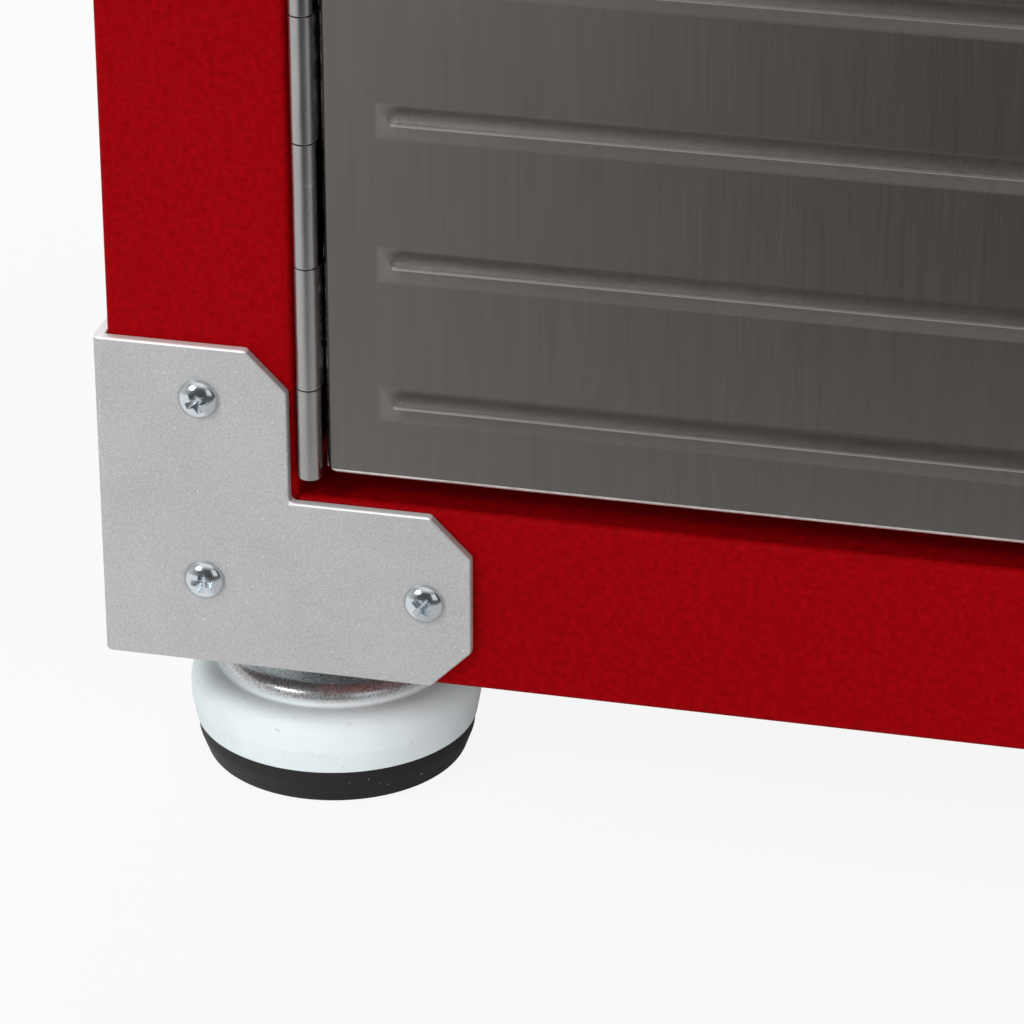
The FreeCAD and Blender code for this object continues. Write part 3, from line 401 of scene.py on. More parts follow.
def done(piece, finish, body, node, angle=35):
    """Shades a finished piece, gives it its material and body, and stands it in for its CAD node."""
    outwards(piece)
    bpy.ops.object.shade_smooth_by_angle(angle=math.radians(angle))
    change(piece, "WEIGHTED_NORMAL", keep_sharp=True)
    piece.data.materials.clear()
    piece.data.materials.append(finish.owner)
    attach(piece, body)
    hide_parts(node)


def twin(piece, name, factors=(-1, 1, 1)):
    """A copy with its own mesh, mirrored to the cabinet's other side unless the factors say otherwise."""
    choose(piece)
    bpy.ops.object.duplicate()
    copy = bpy.context.object
    copy.name = name
    copy.scale = factors
    bpy.ops.object.transform_apply(location=False, rotation=False, scale=True)
    return copy


def folded(name, corners, run, outside, sheet, radius):
    """Folds a strip of sheet at each corner. The corners lie on its outer face, run is the strip's
    width and direction, and outside points away from the first panel."""
    first, second = corners[:2]
    step = second - first
    panel_middle = first + (step + run) / 2
    axes = Matrix((step.normalized(), run.normalized(), step.cross(run).normalized())).transposed()
    bpy.ops.object.select_all(action="DESELECT")
    bpy.ops.mesh.primitive_plane_add(size=1)
    piece = bpy.context.object
    piece.name = name
    piece.matrix_world = Matrix.LocRotScale(
        panel_middle, axes.to_quaternion(), Vector((step.length, run.length, 1)),
    )
    bpy.ops.object.transform_apply(location=True, rotation=True, scale=True)
    bpy.ops.object.mode_set(mode="EDIT")
    for last, corner in zip(corners[1:], corners[2:]):
        pick("EDGE", lambda middle, way: (middle - last - run / 2).length < CLOSE)
        bpy.ops.mesh.extrude_region_move(TRANSFORM_OT_translate={"value": corner - last})
    bpy.ops.mesh.select_all(action="SELECT")
    bpy.ops.mesh.normals_make_consistent(inside=False)
    mesh = bmesh.from_edit_mesh(piece.data)
    panel = min(mesh.faces, key=lambda face: (face.calc_center_median() - panel_middle).length)
    if panel.normal.dot(outside) < 0:
        bpy.ops.mesh.flip_normals()
    folds = [corner + run / 2 for corner in corners[1:-1]]
    pick("EDGE", lambda middle, way: any((middle - fold).length < CLOSE for fold in folds))
    bpy.ops.mesh.bevel(offset=radius, segments=5, affect="EDGES")
    thicken(piece, sheet)
    return piece


post = post_high.x + half_width
post_return = 22 * MM
side_wall = folded(
    "left_side_wall",
    [
        Vector((-half_width + post, back, base)), Vector((-half_width, back, base)),
        Vector((-half_width, front, base)), Vector((-half_width + post, front, base)),
        Vector((-half_width + post, front + post_return, base)),
    ],
    Vector((0, 0, post_high.z - base)), Vector((0, 1, 0)), wall, fold_radius,
)
soften(side_wall, burr_width)
other_wall = twin(side_wall, "right_side_wall")
done(side_wall, red, "cabinet", "left_side_panel")
done(other_wall, red, "cabinet", "right_side_panel")

rail_flange = 20 * MM
rail_run = Vector((sill_high.x - sill_low.x, 0, 0))
sill_rail = folded(
    "sill_rail",
    [
        Vector((sill_low.x, front + rail_flange, base)), Vector((sill_low.x, front, base)),
        Vector((sill_low.x, front, sill_high.z)), Vector((sill_low.x, sill_high.y, sill_high.z)),
    ],
    rail_run, Vector((0, 0, -1)), wall, fold_radius,
)
soften(sill_rail, burr_width)
done(sill_rail, red, "cabinet", "bottom_front_rail")

head_rail = folded(
    "head_rail",
    [
        Vector((head_low.x, head_high.y, head_low.z)), Vector((head_low.x, front, head_low.z)),
        Vector((head_low.x, front, head_high.z)), Vector((head_low.x, front + rail_flange, head_high.z)),
    ],
    rail_run, Vector((0, 0, -1)), wall, fold_radius,
)
# The lock's cam swings up through a slot in the rail's lower flange.
cam_low, cam_high = corners_of("lock_cam")
cam_room = 2 * MM
cam_slot = begin(
    "cam_slot", "cube", ((cam_low.x + cam_high.x) / 2, (cam_low.y + cam_high.y) / 2, head_low.z),
    stretch=(cam_high.x - cam_low.x + cam_room, cam_high.y - cam_low.y + 2 * cam_room, 4 * wall), size=1,
)
cut(head_rail, cam_slot)
soften(head_rail, burr_width)
done(head_rail, red, "cabinet", "top_front_rail")

lid_low, lid_high = corners_of("top_panel")
lid = begin("lid", "cube", (lid_low + lid_high) / 2, stretch=lid_high - lid_low, size=1)
pick("FACE", lambda middle, way: way.z < -0.5)
bpy.ops.mesh.delete(type="FACE")
pick("EDGE", lambda middle, way: not near(middle.z, lid_low.z))
bpy.ops.mesh.bevel(offset=fold_radius, segments=5, affect="EDGES")
thicken(lid, wall)
soften(lid, burr_width)
done(lid, red, "cabinet", "top_panel")


# Foot plates, weld nuts and jam nuts. In each bottom corner is an angle plate folded from thick sheet, with a
# weld nut on top for the foot's stud and a jam nut below. All are zinc-plated steel.
zinc = Finish("bright_zinc")
spot = zinc.place()
scuff = zinc.noise(spot, 160, 4)
speck = zinc.noise(spot, 1400, 2)
zinc.surface(
    Base_Color=zinc.blend(scuff, linear(205, 214, 217), linear(222, 230, 232)),
    Metallic=0.9,
    Roughness=0.24 + scuff * 0.16,
    Normal=zinc.bump(speck, 0.12, 0.0001),
)
coat(zinc, "foot_plates", "foot_weld_nuts", "foot_jam_nuts")


# Corner braces. Steel plate cut to an L on each side, with chamfered ends, and folded round each lower corner
# of the carcass. It has a metallic silver coat, with a painted highlight along its upper edges.
brace_low, brace_high = corners_of("front_left_corner_brace")
plate = front - brace_low.y
brace_width = brace_high.x + half_width
brace_base = brace_low.z
brace_height = brace_high.z - brace_base
post_arm = 37 * MM
rail_arm = 37.2 * MM
chamfer = 8.3 * MM
brace_bend = 1.8 * MM
elbow_radius = 1.2 * MM
brace_edge = 0.45 * MM
top_highlight_band = 0.45 * MM
elbow_highlight_band = 0.4 * MM
mid_depth = (front + back) / 2

silver = Finish("silver_coat")
spot = silver.place()
flake = silver.noise(spot, 2600, 1)
cloud = silver.noise(spot, 60, 3)
glint = silver.noise(spot, 1900, 1).ramp(0.70, 0.78)
from_top = (silver.along(spot, "Z") - brace_high.z).size()
from_rail_arm = (silver.along(spot, "Z") - (brace_base + rail_arm)).size()
past_arm_across = half_width - post_arm - silver.along(spot, "X").size()
past_arm_in_depth = (back - front) / 2 - post_arm - (silver.along(spot, "Y") - mid_depth).size()
past_arm = past_arm_across.at_least(past_arm_in_depth).over(0)
# Painted highlight: near-white colour in a thin band along the top edges of both arms, with painted glints
# scattered over the coat.
painted_edge_highlight = (top_highlight_band - from_top).over(0) + (elbow_highlight_band - from_rail_arm).over(0) * past_arm
coated = silver.blend((flake * 2 - 0.5) * 0.6 + cloud * 0.4, linear(157, 157, 157), linear(198, 198, 198))
silver.surface(
    Base_Color=silver.blend((glint * 0.7).at_least(painted_edge_highlight.at_most(1)), coated, linear(244, 244, 244)),
    Metallic=0.35,
    Roughness=0.4 + flake * 0.2,
    Normal=silver.bump(flake, 0.3, 0.0001),
)


def slice_off(wanted, point, normal):
    """Cuts the picked faces along a plane and drops what lies on the side that the normal shows."""
    pick("FACE", wanted)
    bpy.ops.mesh.bisect(plane_co=point, plane_no=normal, clear_outer=True)


def move(piece, place):
    """Moves a piece made at the origin to its place, and applies that to its mesh."""
    choose(piece)
    piece.location = place
    bpy.ops.object.transform_apply(location=True)


# The brace is made with its inner corner at the origin, and goes from there to each corner.
brace = begin(
    "front_left_brace", "plane", ((brace_width - plate) / 2, -plate, brace_height / 2),
    (math.pi / 2, 0, 0), (brace_width + plate, brace_height, 1), size=1,
)
split((post_arm, 0, 0), (1, 0, 0))
split((0, 0, rail_arm), (0, 0, 1))
pick("FACE", lambda middle, way: middle.x > post_arm and middle.z > rail_arm)
bpy.ops.mesh.delete(type="FACE")
slice_off(lambda middle, way: middle.z > rail_arm, (post_arm - chamfer, 0, brace_height), (1, 0, 1))
slice_off(lambda middle, way: middle.x > post_arm, (brace_width - chamfer, 0, rail_arm), (1, 0, 1))
slice_off(lambda middle, way: middle.x > post_arm, (brace_width - chamfer, 0, 0), (1, 0, -1))
bpy.ops.mesh.select_all(action="SELECT")
bpy.ops.mesh.duplicate()
bpy.ops.transform.rotate(value=math.pi / 2, orient_axis="Z", center_override=(0, 0, 0))
bpy.ops.transform.resize(value=(1, -1, 1), center_override=(0, 0, 0))
bpy.ops.mesh.select_all(action="SELECT")
bpy.ops.mesh.remove_doubles(threshold=CLOSE)
bpy.ops.mesh.normals_make_consistent(inside=False)
brace_mesh = bmesh.from_edit_mesh(brace.data)
if min(brace_mesh.faces, key=lambda face: face.calc_center_median().y).normal.y > 0:
    bpy.ops.mesh.flip_normals()
bpy.ops.mesh.dissolve_limited(angle_limit=math.radians(1))
thicken(brace, plate)
bpy.ops.object.mode_set(mode="EDIT")
pick("EDGE", lambda middle, way: near(middle.x, -plate) and near(middle.y, -plate) and abs(way.z) > 0.9)
bpy.ops.mesh.bevel(offset=brace_bend, segments=6, affect="EDGES")


def at_elbow(middle, way):
    front_elbow = near(middle.x, post_arm) and near(middle.y, -plate / 2)
    side_elbow = near(middle.y, post_arm) and near(middle.x, -plate / 2)
    return near(middle.z, rail_arm) and abs(way.z) < 0.1 and (front_elbow or side_elbow)


pick("EDGE", at_elbow)
bpy.ops.mesh.bevel(offset=elbow_radius, segments=5, affect="EDGES")
soften(brace, brace_edge, 3)
move(brace, (-half_width, front, brace_base))
for end in ENDS:
    for side, side_way in SIDES.items():
        copy = twin(brace, f"{end}_{side}_brace", (-side_way, 1, 1))
        if end == "rear":
            choose(copy)
            bpy.ops.transform.resize(value=(1, -1, 1), center_override=(0, mid_depth, 0))
            bpy.ops.object.transform_apply(location=True, rotation=True, scale=True)
        done(copy, silver, "cabinet", f"{end}_{side}_corner_brace")
bpy.data.objects.remove(brace)


# Brace screws. Zinc-plated steel pan heads with a cross recess. Three go through each leaf of a brace into
# the folded sheet behind it.
bright = Finish("polished_zinc")
spot = bright.place()
scuff = bright.noise(spot, 420, 3)
bright.surface(
    Base_Color=bright.blend(scuff, linear(196, 204, 208), linear(222, 228, 232)),
    Metallic=1.0,
    Roughness=0.13 + scuff * 0.1,
    Normal=bright.bump(scuff, 0.25, 0.0002),
)
head_radius = 4.15 * MM
head_rise = 2.4 * MM
shank_radius = 2 * MM
shank_length = 6 * MM
shank_point = 0.6 * MM
recess_span = 5.3 * MM
recess_depth = 1.9 * MM
smallest_radius = 0.01 * MM


def lathe(name, profile, steps=64):
    """Turns a profile of (radius, height) about the Z axis, ring by ring; a radius of 0 closes it."""
    radius, height = profile[0]
    start_radius = max(radius, smallest_radius)
    piece = begin(name, "circle", (0, 0, height), vertices=steps, radius=start_radius, fill_type="NOTHING")
    for next_radius, next_height in profile[1:]:
        ratio = max(next_radius, smallest_radius) / max(radius, smallest_radius)
        bpy.ops.mesh.extrude_region_move(TRANSFORM_OT_translate={"value": (0, 0, next_height - height)})
        bpy.ops.transform.resize(value=(ratio, ratio, 1), center_override=(0, 0, next_height))
        radius, height = next_radius, next_height
    closed = profile[0][0] == 0 or radius == 0
    bpy.ops.mesh.select_all(action="SELECT")
    bpy.ops.mesh.remove_doubles(threshold=0.025 * MM if closed else 0.001 * MM)
    bpy.ops.mesh.normals_make_consistent(inside=False)
    bpy.ops.object.mode_set(mode="OBJECT")
    return piece


def quarter_turn(steps):
    """Angles from 0 to a right angle."""
    return [math.pi / 2 * step / steps for step in range(steps + 1)]


def dome(radius, rise, steps=10):
    """Profile of a round head from its rim to its top."""
    turns = quarter_turn(steps)[:-1]
    return [(radius * math.cos(turn), rise * math.sin(turn)) for turn in turns] + [(0, rise)]


def recess(screw, span, depth, rise):
    """Cuts a cross recess in a screw's head, with two tapered blades and a pit between them."""
    blade_size = (span, span * 0.3, depth)
    blade_middle = (0, 0, rise - depth / 2 + 0.1 * MM)
    blade_taper = (0.35, 0.25, 1)
    pit_top = rise + 0.2 * MM
    for turn in (0, math.pi / 2):
        blade = begin("blade", "cube", blade_middle, (0, 0, turn), blade_size, size=1)
        pick("FACE", lambda middle, way: way.z < -0.5)
        bpy.ops.transform.resize(value=blade_taper)
        cut(screw, blade)
    pit_wall = [(span * 0.12, rise - depth), (span * 0.29, pit_top)]
    cut(screw, lathe("pit", [(0, rise - depth), *pit_wall, (0, pit_top)], 8))


def fixed(master, name, places):
    """Copies of one small part at (place, direction, spin), joined into one piece."""
    copies = []
    for place, direction, spin in places:
        copy = twin(master, f"{name}_{len(copies)}", (1, 1, 1))
        turn = Vector(direction).to_track_quat("Z", "Y") @ Matrix.Rotation(spin, 3, "Z").to_quaternion()
        copy.rotation_mode = "QUATERNION"
        copy.rotation_quaternion = turn
        copy.location = place
        bpy.ops.object.transform_apply(location=True, rotation=True, scale=True)
        copies.append(copy)
    choose(copies[0])
    for copy in copies:
        copy.select_set(True)
    bpy.ops.object.join()
    copies[0].name = name
    return copies[0]


def pan_head_screw(name, length):
    """A screw with its seat at the origin and its head along Z."""
    tip = [(0, -length), (shank_radius * 0.7, -length), (shank_radius, -length + shank_point)]
    made = lathe(name, tip + [(shank_radius, 0)] + dome(head_radius, head_rise))
    recess(made, recess_span, recess_depth, head_rise)
    return made


screw = pan_head_screw("screw", shank_length)
# Each screw of a leaf by its distance from the corner and its height over the brace's base.
leaf_screws = [(19.2 * MM, 18.45 * MM), (19.2 * MM, 57.75 * MM), (64.2 * MM, 18.45 * MM)]
places = []
for end, end_way in ENDS.items():
    face = front if end == "front" else back
    for side_way in SIDES.values():
        for inset, height in leaf_screws:
            on_end_leaf = (side_way * (half_width - inset), face + end_way * plate, brace_base + height)
            places.append((on_end_leaf, (0, end_way, 0), len(places)))
            on_side_leaf = (side_way * (half_width + plate), face - end_way * inset, brace_base + height)
            places.append((on_side_leaf, (side_way, 0, 0), len(places)))
done(fixed(screw, "brace_screw_set", places), bright, "cabinet", "brace_screws")


# Continuous hinges. Each leaf is one strip of stainless sheet, cut into tongues that are rolled round the
# pin wire in turn, the frame's first at the bottom. Domed rivets hold the leaves to the post and the door.
hinge_steel = Finish("hinge_stainless")
wear = hinge_steel.noise(hinge_steel.place((1, 1, 0.2)), 300, 4)
blot = hinge_steel.noise(hinge_steel.place(), 95, 2).ramp(0.66, 0.72) * 0.5
rolled = hinge_steel.blend(wear, linear(146, 145, 144), linear(186, 185, 184))
hinge_steel.surface(
    Base_Color=hinge_steel.blend(blot, rolled, linear(226, 226, 225)),
    Metallic=1.0,
    Roughness=0.2 + wear * 0.16,
    Normal=hinge_steel.bump(wear, 0.1, 0.0001),
)
leaf_low, leaf_high = corners_of("left_frame_hinge_leaf")
pin_low, pin_high = corners_of("left_hinge_pin")
door_low, door_high = corners_of("left_door_skin")
axis = Vector(((pin_low.x + pin_high.x) / 2, (pin_low.y + pin_high.y) / 2, 0))
leaf_sheet = 1 * MM
barrel = axis.y - leaf_low.y
leaf_front = axis.y + 5 * MM
leaf_depth = 15 * MM
leaf_edge = 0.26 * MM
end_knuckle = 19.1 * MM
knuckle_pitch = 25.4 * MM
knuckle_gap = 0.16 * MM
tongue_root = 1.2 * MM
roll_turn = math.radians(285)


def hinge_leaf(name, face, towards_door):
    """A leaf whose carrier side is at X = face; its tongues roll round the pin away from that side."""
    long = leaf_high.z - leaf_low.z
    piece = begin(
        name, "plane", (face, leaf_front + leaf_depth / 2, leaf_low.z + long / 2), (0, math.pi / 2, 0),
        (long, leaf_depth, 1), size=1,
    )
    joints = [leaf_low.z + end_knuckle]
    while joints[-1] + knuckle_pitch < leaf_high.z:
        joints.append(joints[-1] + knuckle_pitch)
    for joint in joints:
        for side in (-1, 1):
            split((0, 0, joint + side * knuckle_gap / 2), (0, 0, 1))

    def own_tongue(middle, way):
        if not near(middle.y, leaf_front) or abs(way.z) < 0.9:
            return False
        rank = sum(joint < middle.z for joint in joints)
        clear = all(abs(middle.z - joint) > knuckle_gap for joint in joints)
        return clear and rank % 2 == (1 if towards_door else 0)

    pick("EDGE", own_tongue)
    way_to_pin = 1 if axis.x > face else -1
    jog = (abs(axis.x - face) - barrel) * way_to_pin
    reach = axis.y - leaf_front + tongue_root
    bpy.ops.mesh.extrude_region_move(TRANSFORM_OT_translate={"value": (0, -tongue_root, 0)})
    bpy.ops.mesh.extrude_region_move(TRANSFORM_OT_translate={"value": (jog, reach, 0)})
    bpy.ops.mesh.spin(steps=24, angle=-way_to_pin * roll_turn, center=axis, axis=(0, 0, 1))
    bpy.ops.mesh.select_all(action="SELECT")
    bpy.ops.mesh.normals_make_consistent(inside=False)
    mesh = bmesh.from_edit_mesh(piece.data)
    largest = max(mesh.faces, key=lambda item: item.calc_area())
    if largest.normal.x * way_to_pin > 0:
        bpy.ops.mesh.flip_normals()
    thicken(piece, leaf_sheet)
    soften(piece, leaf_edge)
    return piece


frame_leaf = hinge_leaf("left_frame_leaf", leaf_low.x, False)
door_leaf = hinge_leaf("left_door_leaf", door_low.x, True)
right_frame_leaf = twin(frame_leaf, "right_frame_leaf")
right_door_leaf = twin(door_leaf, "right_door_leaf")
done(frame_leaf, hinge_steel, "cabinet", "left_frame_hinge_leaf")
done(right_frame_leaf, hinge_steel, "cabinet", "right_frame_hinge_leaf")
done(door_leaf, hinge_steel, "left_door", "left_door_hinge_leaf")
done(right_door_leaf, hinge_steel, "right_door", "right_door_hinge_leaf")

pin_radius = (pin_high.x - pin_low.x) / 2
pin_rise = 0.4 * MM
pin_crown = [(radius, height + pin_high.z - pin_rise) for radius, height in dome(pin_radius, pin_rise, 4)]
pin = lathe("left_pin", [(0, pin_low.z), (pin_radius, pin_low.z)] + pin_crown, 32)
move(pin, axis)
other_pin = twin(pin, "right_pin")
done(pin, hinge_steel, "cabinet", "left_hinge_pin")
done(other_pin, hinge_steel, "cabinet", "right_hinge_pin")

rivet_low, rivet_high = corners_of("left_door_hinge_rivets")
rivet_cap = 2.6 * MM
rivet_rise = 0.9 * MM
rivet_shank = 1.6 * MM
rivet_tail = 1.8 * MM
rivet_count = 6
rivet_step = (rivet_high.z - rivet_low.z - 2 * rivet_cap) / (rivet_count - 1)
rivet_body = [(0, -rivet_tail), (rivet_shank, -rivet_tail), (rivet_shank, 0)]
rivet = lathe("rivet", rivet_body + dome(rivet_cap, rivet_rise))


def rivets(name, face, sides, way):
    """Rows of rivets with their heads on a leaf's face."""
    places = []
    for side in sides:
        for index in range(rivet_count):
            height = rivet_low.z + rivet_cap + rivet_step * index
            places.append(((side * face, leaf_front + leaf_depth / 2, height), (side * way, 0, 0), 0))
    return fixed(rivet, name, places)


frame_face = -leaf_low.x - leaf_sheet
door_face = -door_low.x + leaf_sheet
done(rivets("frame_rivet_set", frame_face, (-1, 1), -1), zinc, "cabinet", "frame_hinge_rivets")
for side, side_way in SIDES.items():
    door_set = rivets(f"{side}_door_rivet_set", door_face, (side_way,), 1)
    done(door_set, zinc, f"{side}_door", f"{side}_door_hinge_rivets")
bpy.data.objects.remove(rivet)


# Doors. Each front is one sheet of brushed stainless steel with a row of ribs pressed outwards, its edges
# rolled back round a red inner tray. Its bottom edge, hinge side and crests have painted highlights.
brushed = Finish("brushed_stainless")
spot = brushed.place()
grain = brushed.noise(brushed.place((1, 1, 0.025)), 2400, 3)
band = brushed.noise(brushed.place((1, 1, 0.05)), 420, 3)
cloud = brushed.noise(spot, 18, 3)
highlight_breakup = brushed.noise(spot, 420, 2)
# Painted highlights: near-white colour in a band along the bottom edge, in broken dashes down the hinge side,
# and faintly on the rib crests.
bottom_highlight_height = 1.1 * MM
side_highlight_width = 0.5 * MM
crest_highlight_depth = 0.1 * MM
bottom_edge_highlight = (door_low.z + bottom_highlight_height - brushed.along(spot, "Z")).over(0)
from_side = brushed.along(spot, "X").size() + door_low.x
hinge_edge_highlight = (from_side + side_highlight_width).over(0) * highlight_breakup.ramp(0.46, 0.56)
from_front = brushed.along(spot, "Y") - door_low.y
not_handle = (from_front + 0.5 * MM).over(0)
crest_highlight = (crest_highlight_depth - from_front).over(0) * not_handle * 0.3
painted_highlights = (bottom_edge_highlight.at_least(hinge_edge_highlight) * (0.4 + highlight_breakup)).at_least(crest_highlight)
brushed_colour = brushed.blend(grain * 0.5 + band * 0.5, linear(106, 102, 98), linear(130, 126, 122))
brushed.surface(
    Base_Color=brushed.blend(painted_highlights, brushed_colour, linear(236, 235, 232)),
    Metallic=1.0,
    Roughness=0.26 + grain * 0.12 + cloud * 0.06,
    Normal=brushed.bump(grain, 0.15, 0.00005),
)
rib_pitch = 29.1 * MM
rib_margin = 16.1 * MM
rib_inset = 10.6 * MM
rib_height = 7.6 * MM
rib_crest = 0.4 * MM
rib_rise = front - door_low.y
rib_count = round((door_high.z - door_low.z - 2 * rib_margin) // rib_pitch) + 1
rib_start = door_low.x + rib_inset
rib_stop = door_high.x - rib_inset
door_width = door_high.x - door_low.x
door_depth = door_high.y - front
door_sheet = 0.8 * MM
corner_radius = 2 * MM
rolled_edge = 1.2 * MM

skin = begin(
    "left_skin", "plane", ((door_low.x + door_high.x) / 2, front, (door_low.z + door_high.z) / 2),
    (math.pi / 2, 0, 0), (door_width, door_high.z - door_low.z, 1), size=1,
)
rib_middles = [door_low.z + rib_margin + rib_pitch * index for index in range(rib_count)]
for rib_middle in rib_middles:
    split((0, 0, rib_middle - rib_height / 2), (0, 0, 1))
    split((0, 0, rib_middle + rib_height / 2), (0, 0, 1))
for edge in (rib_start, rib_stop):
    split((edge, 0, 0), (1, 0, 0))


def on_rib(middle, way):
    return rib_start < middle.x < rib_stop and any(abs(middle.z - level) < 1 * MM for level in rib_middles)


# The press leaves each rib a crisp crest and a soft foot, so its slope is made of steps.
rib_steps = 12
foot_softness = 1.5
end_strip = 5 * MM
slope = (rib_height - rib_crest) / 2
pick("FACE", on_rib)
last_rise = 0
for step in range(1, rib_steps + 1):
    rise = rib_rise * (step / rib_steps) ** foot_softness
    bpy.ops.mesh.inset(thickness=slope / rib_steps, depth=rise - last_rise, use_individual=True)
    last_rise = rise
for edge in (rib_start + end_strip, rib_stop - end_strip):
    split((edge, 0, 0), (1, 0, 0))


def at_side(point):
    return near(point.x, door_low.x) or near(point.x, door_high.x)


def at_end(point):
    return near(point.z, door_low.z) or near(point.z, door_high.z)


def on_outline(middle, way):
    """The front's whole outline, but no line that crosses the sheet."""
    side_band = corner_radius - CLOSE
    beside = middle.x < door_low.x + side_band or middle.x > door_high.x - side_band
    crossing = abs(way.x) > 0.9 and door_low.z + corner_radius < middle.z < door_high.z - corner_radius
    return near(middle.y, front) and (beside or at_end(middle)) and not crossing


pick("EDGE", lambda middle, way: near(middle.y, front) and (at_side(middle) or at_end(middle)))
bpy.ops.mesh.extrude_region_move(TRANSFORM_OT_translate={"value": (0, door_depth, 0)})
pick("EDGE", lambda middle, way: abs(way.y) > 0.9 and at_side(middle) and at_end(middle))
bpy.ops.mesh.bevel(offset=corner_radius, segments=6, affect="EDGES")
pick("EDGE", on_outline)
bpy.ops.mesh.bevel(offset=rolled_edge, segments=5, affect="EDGES")
thicken(skin, door_sheet)
other_skin = twin(skin, "right_skin")
done(skin, brushed, "left_door", "left_door_skin", angle=50)
done(other_skin, brushed, "right_door", "right_door_skin", angle=50)


# Handles, strikes and catches. Each handle is a round stainless bar welded on two stand-offs, with screws
# from inside the door. Zinc-plated strikes on the doors meet black plastic magnetic catches on the frame.
bar_low, bar_high = corners_of("left_door_handle")
bar_middle = (bar_low + bar_high) / 2
bar_radius = (bar_high.x - bar_low.x) / 2
bar_long = bar_high.z - bar_low.z
bar_round = 1.5 * MM
bar_overhang = 22 * MM
stand_radius = 4.5 * MM
stand_reach = front - bar_low.y - bar_radius
rounding = [(bar_round * math.cos(turn), bar_round * math.sin(turn)) for turn in quarter_turn(6)]
upper_end = [(bar_radius - bar_round + out, bar_long / 2 - bar_round + up) for out, up in rounding]
lower_end = [(radius, -height) for radius, height in reversed(upper_end)]
bar = lathe("left_bar", [(0, -bar_long / 2)] + lower_end + upper_end + [(0, bar_long / 2)], 64)
move(bar, (bar_middle.x, bar_low.y + bar_radius, bar_middle.z))
stand_heights = (bar_low.z + bar_overhang, bar_high.z - bar_overhang)
for height in stand_heights:
    stand = begin(
        "stand", "cylinder", (bar_middle.x, front - stand_reach / 2, height), (math.pi / 2, 0, 0), vertices=48,
        radius=stand_radius, depth=stand_reach,
    )
    change(bar, "BOOLEAN", operation="UNION", object=stand, solver="EXACT")
    bpy.data.objects.remove(stand)
other_bar = twin(bar, "right_bar")
done(bar, brushed, "left_door", "left_door_handle")
done(other_bar, brushed, "right_door", "right_door_handle")

bolt_low, bolt_high = corners_of("left_handle_screws")
bolt = pan_head_screw("bolt", bolt_high.y - bolt_low.y - head_rise)
for side, side_way in SIDES.items():
    across = -side_way * bar_middle.x
    bolts = [((across, front + door_depth, height), (0, 1, 0), height) for height in stand_heights]
    bolt_pair = fixed(bolt, f"{side}_handle_bolts", bolts)
    done(bolt_pair, zinc, f"{side}_door", f"{side}_handle_screws")
bpy.data.objects.remove(bolt)
coat(zinc, "left_door_strike", "right_door_strike")

plastic = Finish("black_plastic")
grit = plastic.noise(plastic.place(), 1500, 2)
plastic.surface(
    Base_Color=plastic.blend(grit, linear(30, 30, 31), linear(40, 40, 41)),
    Roughness=0.5 + grit * 0.15,
    Normal=plastic.bump(grit, 0.2, 0.0001),
)
coat(plastic, "magnetic_catches")


# Lock. A nickel-plated barrel, held in the right door by a nut inside it, whose plug turns a zinc-plated
# cam behind the top rail. A pan-head screw holds the cam to the plug.
nickel = Finish("bright_nickel")
wear = nickel.noise(nickel.place(), 220, 4)
nickel.surface(
    Base_Color=nickel.blend(wear, linear(196, 193, 186), linear(214, 211, 205)),
    Metallic=1.0,
    Roughness=0.14 + wear * 0.12,
)
coat(nickel, "lock_barrel", "lock_nut", "lock_plug")
coat(zinc, "lock_cam")
cam_bolt_low, cam_bolt_high = corners_of("cam_screw")
cam_bolt_middle = (cam_bolt_low + cam_bolt_high) / 2
cam_bolt_seat = (cam_bolt_middle.x, cam_bolt_high.y - head_rise, cam_bolt_middle.z)
cam_bolt = fixed(screw, "cam_bolt", [(cam_bolt_seat, (0, 1, 0), 0.4)])
done(cam_bolt, zinc, "lock", "cam_screw")
bpy.data.objects.remove(screw)


# Shelves. Two folded sheet shelves with the carcass's red coat. They rest on zinc-plated clips, which hook
# into slotted, zinc-plated uprights on the side panels.
coat(red, "lower_shelf", "upper_shelf")
coat(zinc, "lower_shelf_clips", "upper_shelf_clips", "left_shelf_uprights", "right_shelf_uprights")


# Levelling feet. A cup pressed from plated steel, with a raised bright boss, turns on its stud and holds a
# black rubber pad. The stud screws up into the plate in the cabinet's corner.
rubber = Finish("black_rubber")
spot = rubber.place()
grit = rubber.noise(spot, 1200, 3)
dust = rubber.noise(spot, 900, 1).ramp(0.77, 0.79)
clean_rubber = rubber.blend(grit, linear(26, 26, 26), linear(38, 38, 39))
rubber.surface(
    Base_Color=rubber.blend(dust, clean_rubber, linear(150, 150, 148)),
    Roughness=0.55 + grit * 0.2,
    Specular_IOR_Level=0.3,
    Normal=rubber.bump(grit, 0.25, 0.0001),
)

plated = Finish("plated_cup")
spot = plated.place()
boss = plated.along(spot, "Z").ramp(21.4 * MM, 22.6 * MM)
grit = plated.noise(spot, 2100, 2)
scuff = plated.noise(spot, 130, 4)
fleck = plated.noise(spot, 700, 2).ramp(0.70, 0.74)
pale_plate = plated.blend(scuff, linear(217, 228, 230), linear(233, 242, 244))
boss_plate = plated.blend(grit * 2 - 0.5, linear(158, 160, 163), linear(236, 238, 239))
plated.surface(
    Base_Color=plated.blend(fleck * 0.35, plated.blend(boss, pale_plate, boss_plate), linear(120, 128, 126)),
    Metallic=0.1 + boss * 0.7,
    Roughness=0.55 - boss * 0.32 + grit * 0.1,
    Normal=plated.bump(grit, 0.2, 0.0001),
)


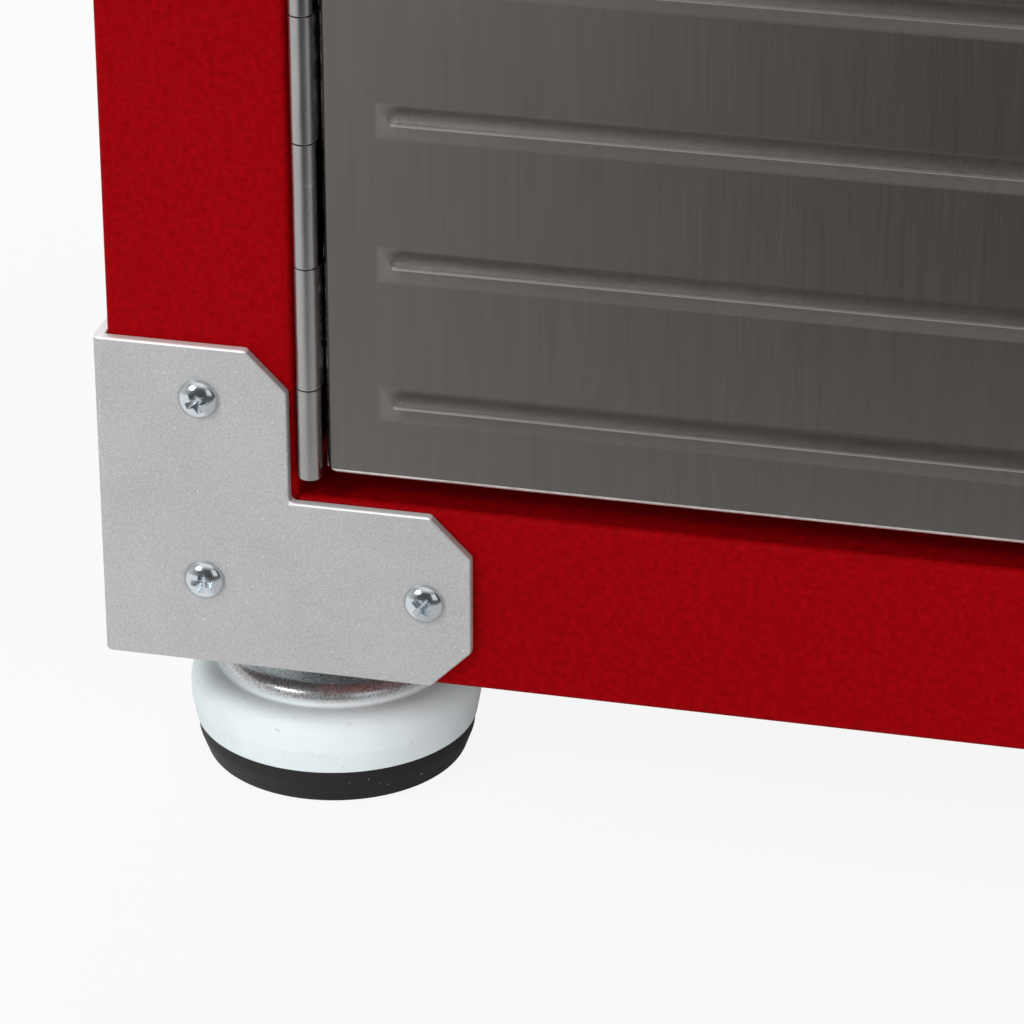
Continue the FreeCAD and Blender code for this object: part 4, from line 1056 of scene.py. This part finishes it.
def rounded(corners, steps=6):
    """A profile whose (radius, height, rounding) corners are turned into arcs."""
    profile = []
    for index, (radius, height, rounding) in enumerate(corners):
        here = Vector((radius, height))
        if not rounding:
            profile.append((radius, height))
            continue
        before = (Vector(corners[index - 1][:2]) - here).normalized()
        after = (Vector(corners[index + 1][:2]) - here).normalized()
        half_turn = before.angle(after) / 2
        centre = here + (before + after).normalized() * rounding / math.sin(half_turn)
        start = here + before * rounding / math.tan(half_turn) - centre
        stop = here + after * rounding / math.tan(half_turn) - centre
        sweep = start.angle_signed(stop)
        for step in range(steps + 1):
            arm = start.copy()
            arm.rotate(Matrix.Rotation(-sweep * step / steps, 2))
            profile.append(tuple(centre + arm))
    return profile


pad_height = 8.3 * MM
rim_radius = 29.4 * MM
cup_radius = 30.3 * MM
cup_sheet = 1.5 * MM
flare_top = pad_height + 5 * MM
shoulder = 21 * MM
boss_radius = 24.6 * MM
boss_taper = 1 * MM
boss_top = 25 * MM
journal_hole = 4.05 * MM
cup = lathe("foot_cup", rounded([
    (rim_radius - cup_sheet, pad_height, 0), (rim_radius - 0.5 * cup_sheet, pad_height, 0),
    (rim_radius, pad_height, 0.4 * MM), (cup_radius, flare_top, 3 * MM),
    (cup_radius, shoulder, 4.6 * MM), (boss_radius, shoulder, 0.8 * MM),
    (boss_radius - boss_taper, boss_top, 3 * MM),
    (journal_hole, boss_top, 0), (journal_hole, boss_top - cup_sheet, 0),
    (boss_radius - cup_sheet, boss_top - cup_sheet, 0), (boss_radius - cup_sheet, shoulder - cup_sheet, 0),
    (cup_radius - cup_sheet, shoulder - cup_sheet, 0), (cup_radius - cup_sheet, flare_top, 0),
    (rim_radius - cup_sheet, pad_height, 0),
]), 128)
sole_radius = 26.9 * MM
pad_bulge = 28.9 * MM
bulge_height = 5.5 * MM
pad_radius = 29 * MM
pad = lathe("foot_pad", rounded([
    (0, 0, 0), (sole_radius, 0, 2.2 * MM), (pad_bulge, bulge_height, 3 * MM), (pad_radius, pad_height, 0),
    (0, pad_height, 0),
]), 128)
for end in ENDS:
    for side in SIDES:
        foot = f"{end}_{side}_foot"
        low, high = corners_of(f"{foot}_stud")
        under_stud = Vector(((low.x + high.x) / 2, (low.y + high.y) / 2, 0))
        own_cup = fixed(cup, f"{end}_{side}_cup", [(under_stud, (0, 0, 1), 0)])
        done(own_cup, plated, foot, f"{foot}_cup")
        own_pad = fixed(pad, f"{end}_{side}_pad", [(under_stud, (0, 0, 1), 0)])
        done(own_pad, rubber, foot, f"{foot}_pad")
        coat(zinc, f"{foot}_stud")
bpy.data.objects.remove(cup)
bpy.data.objects.remove(pad)
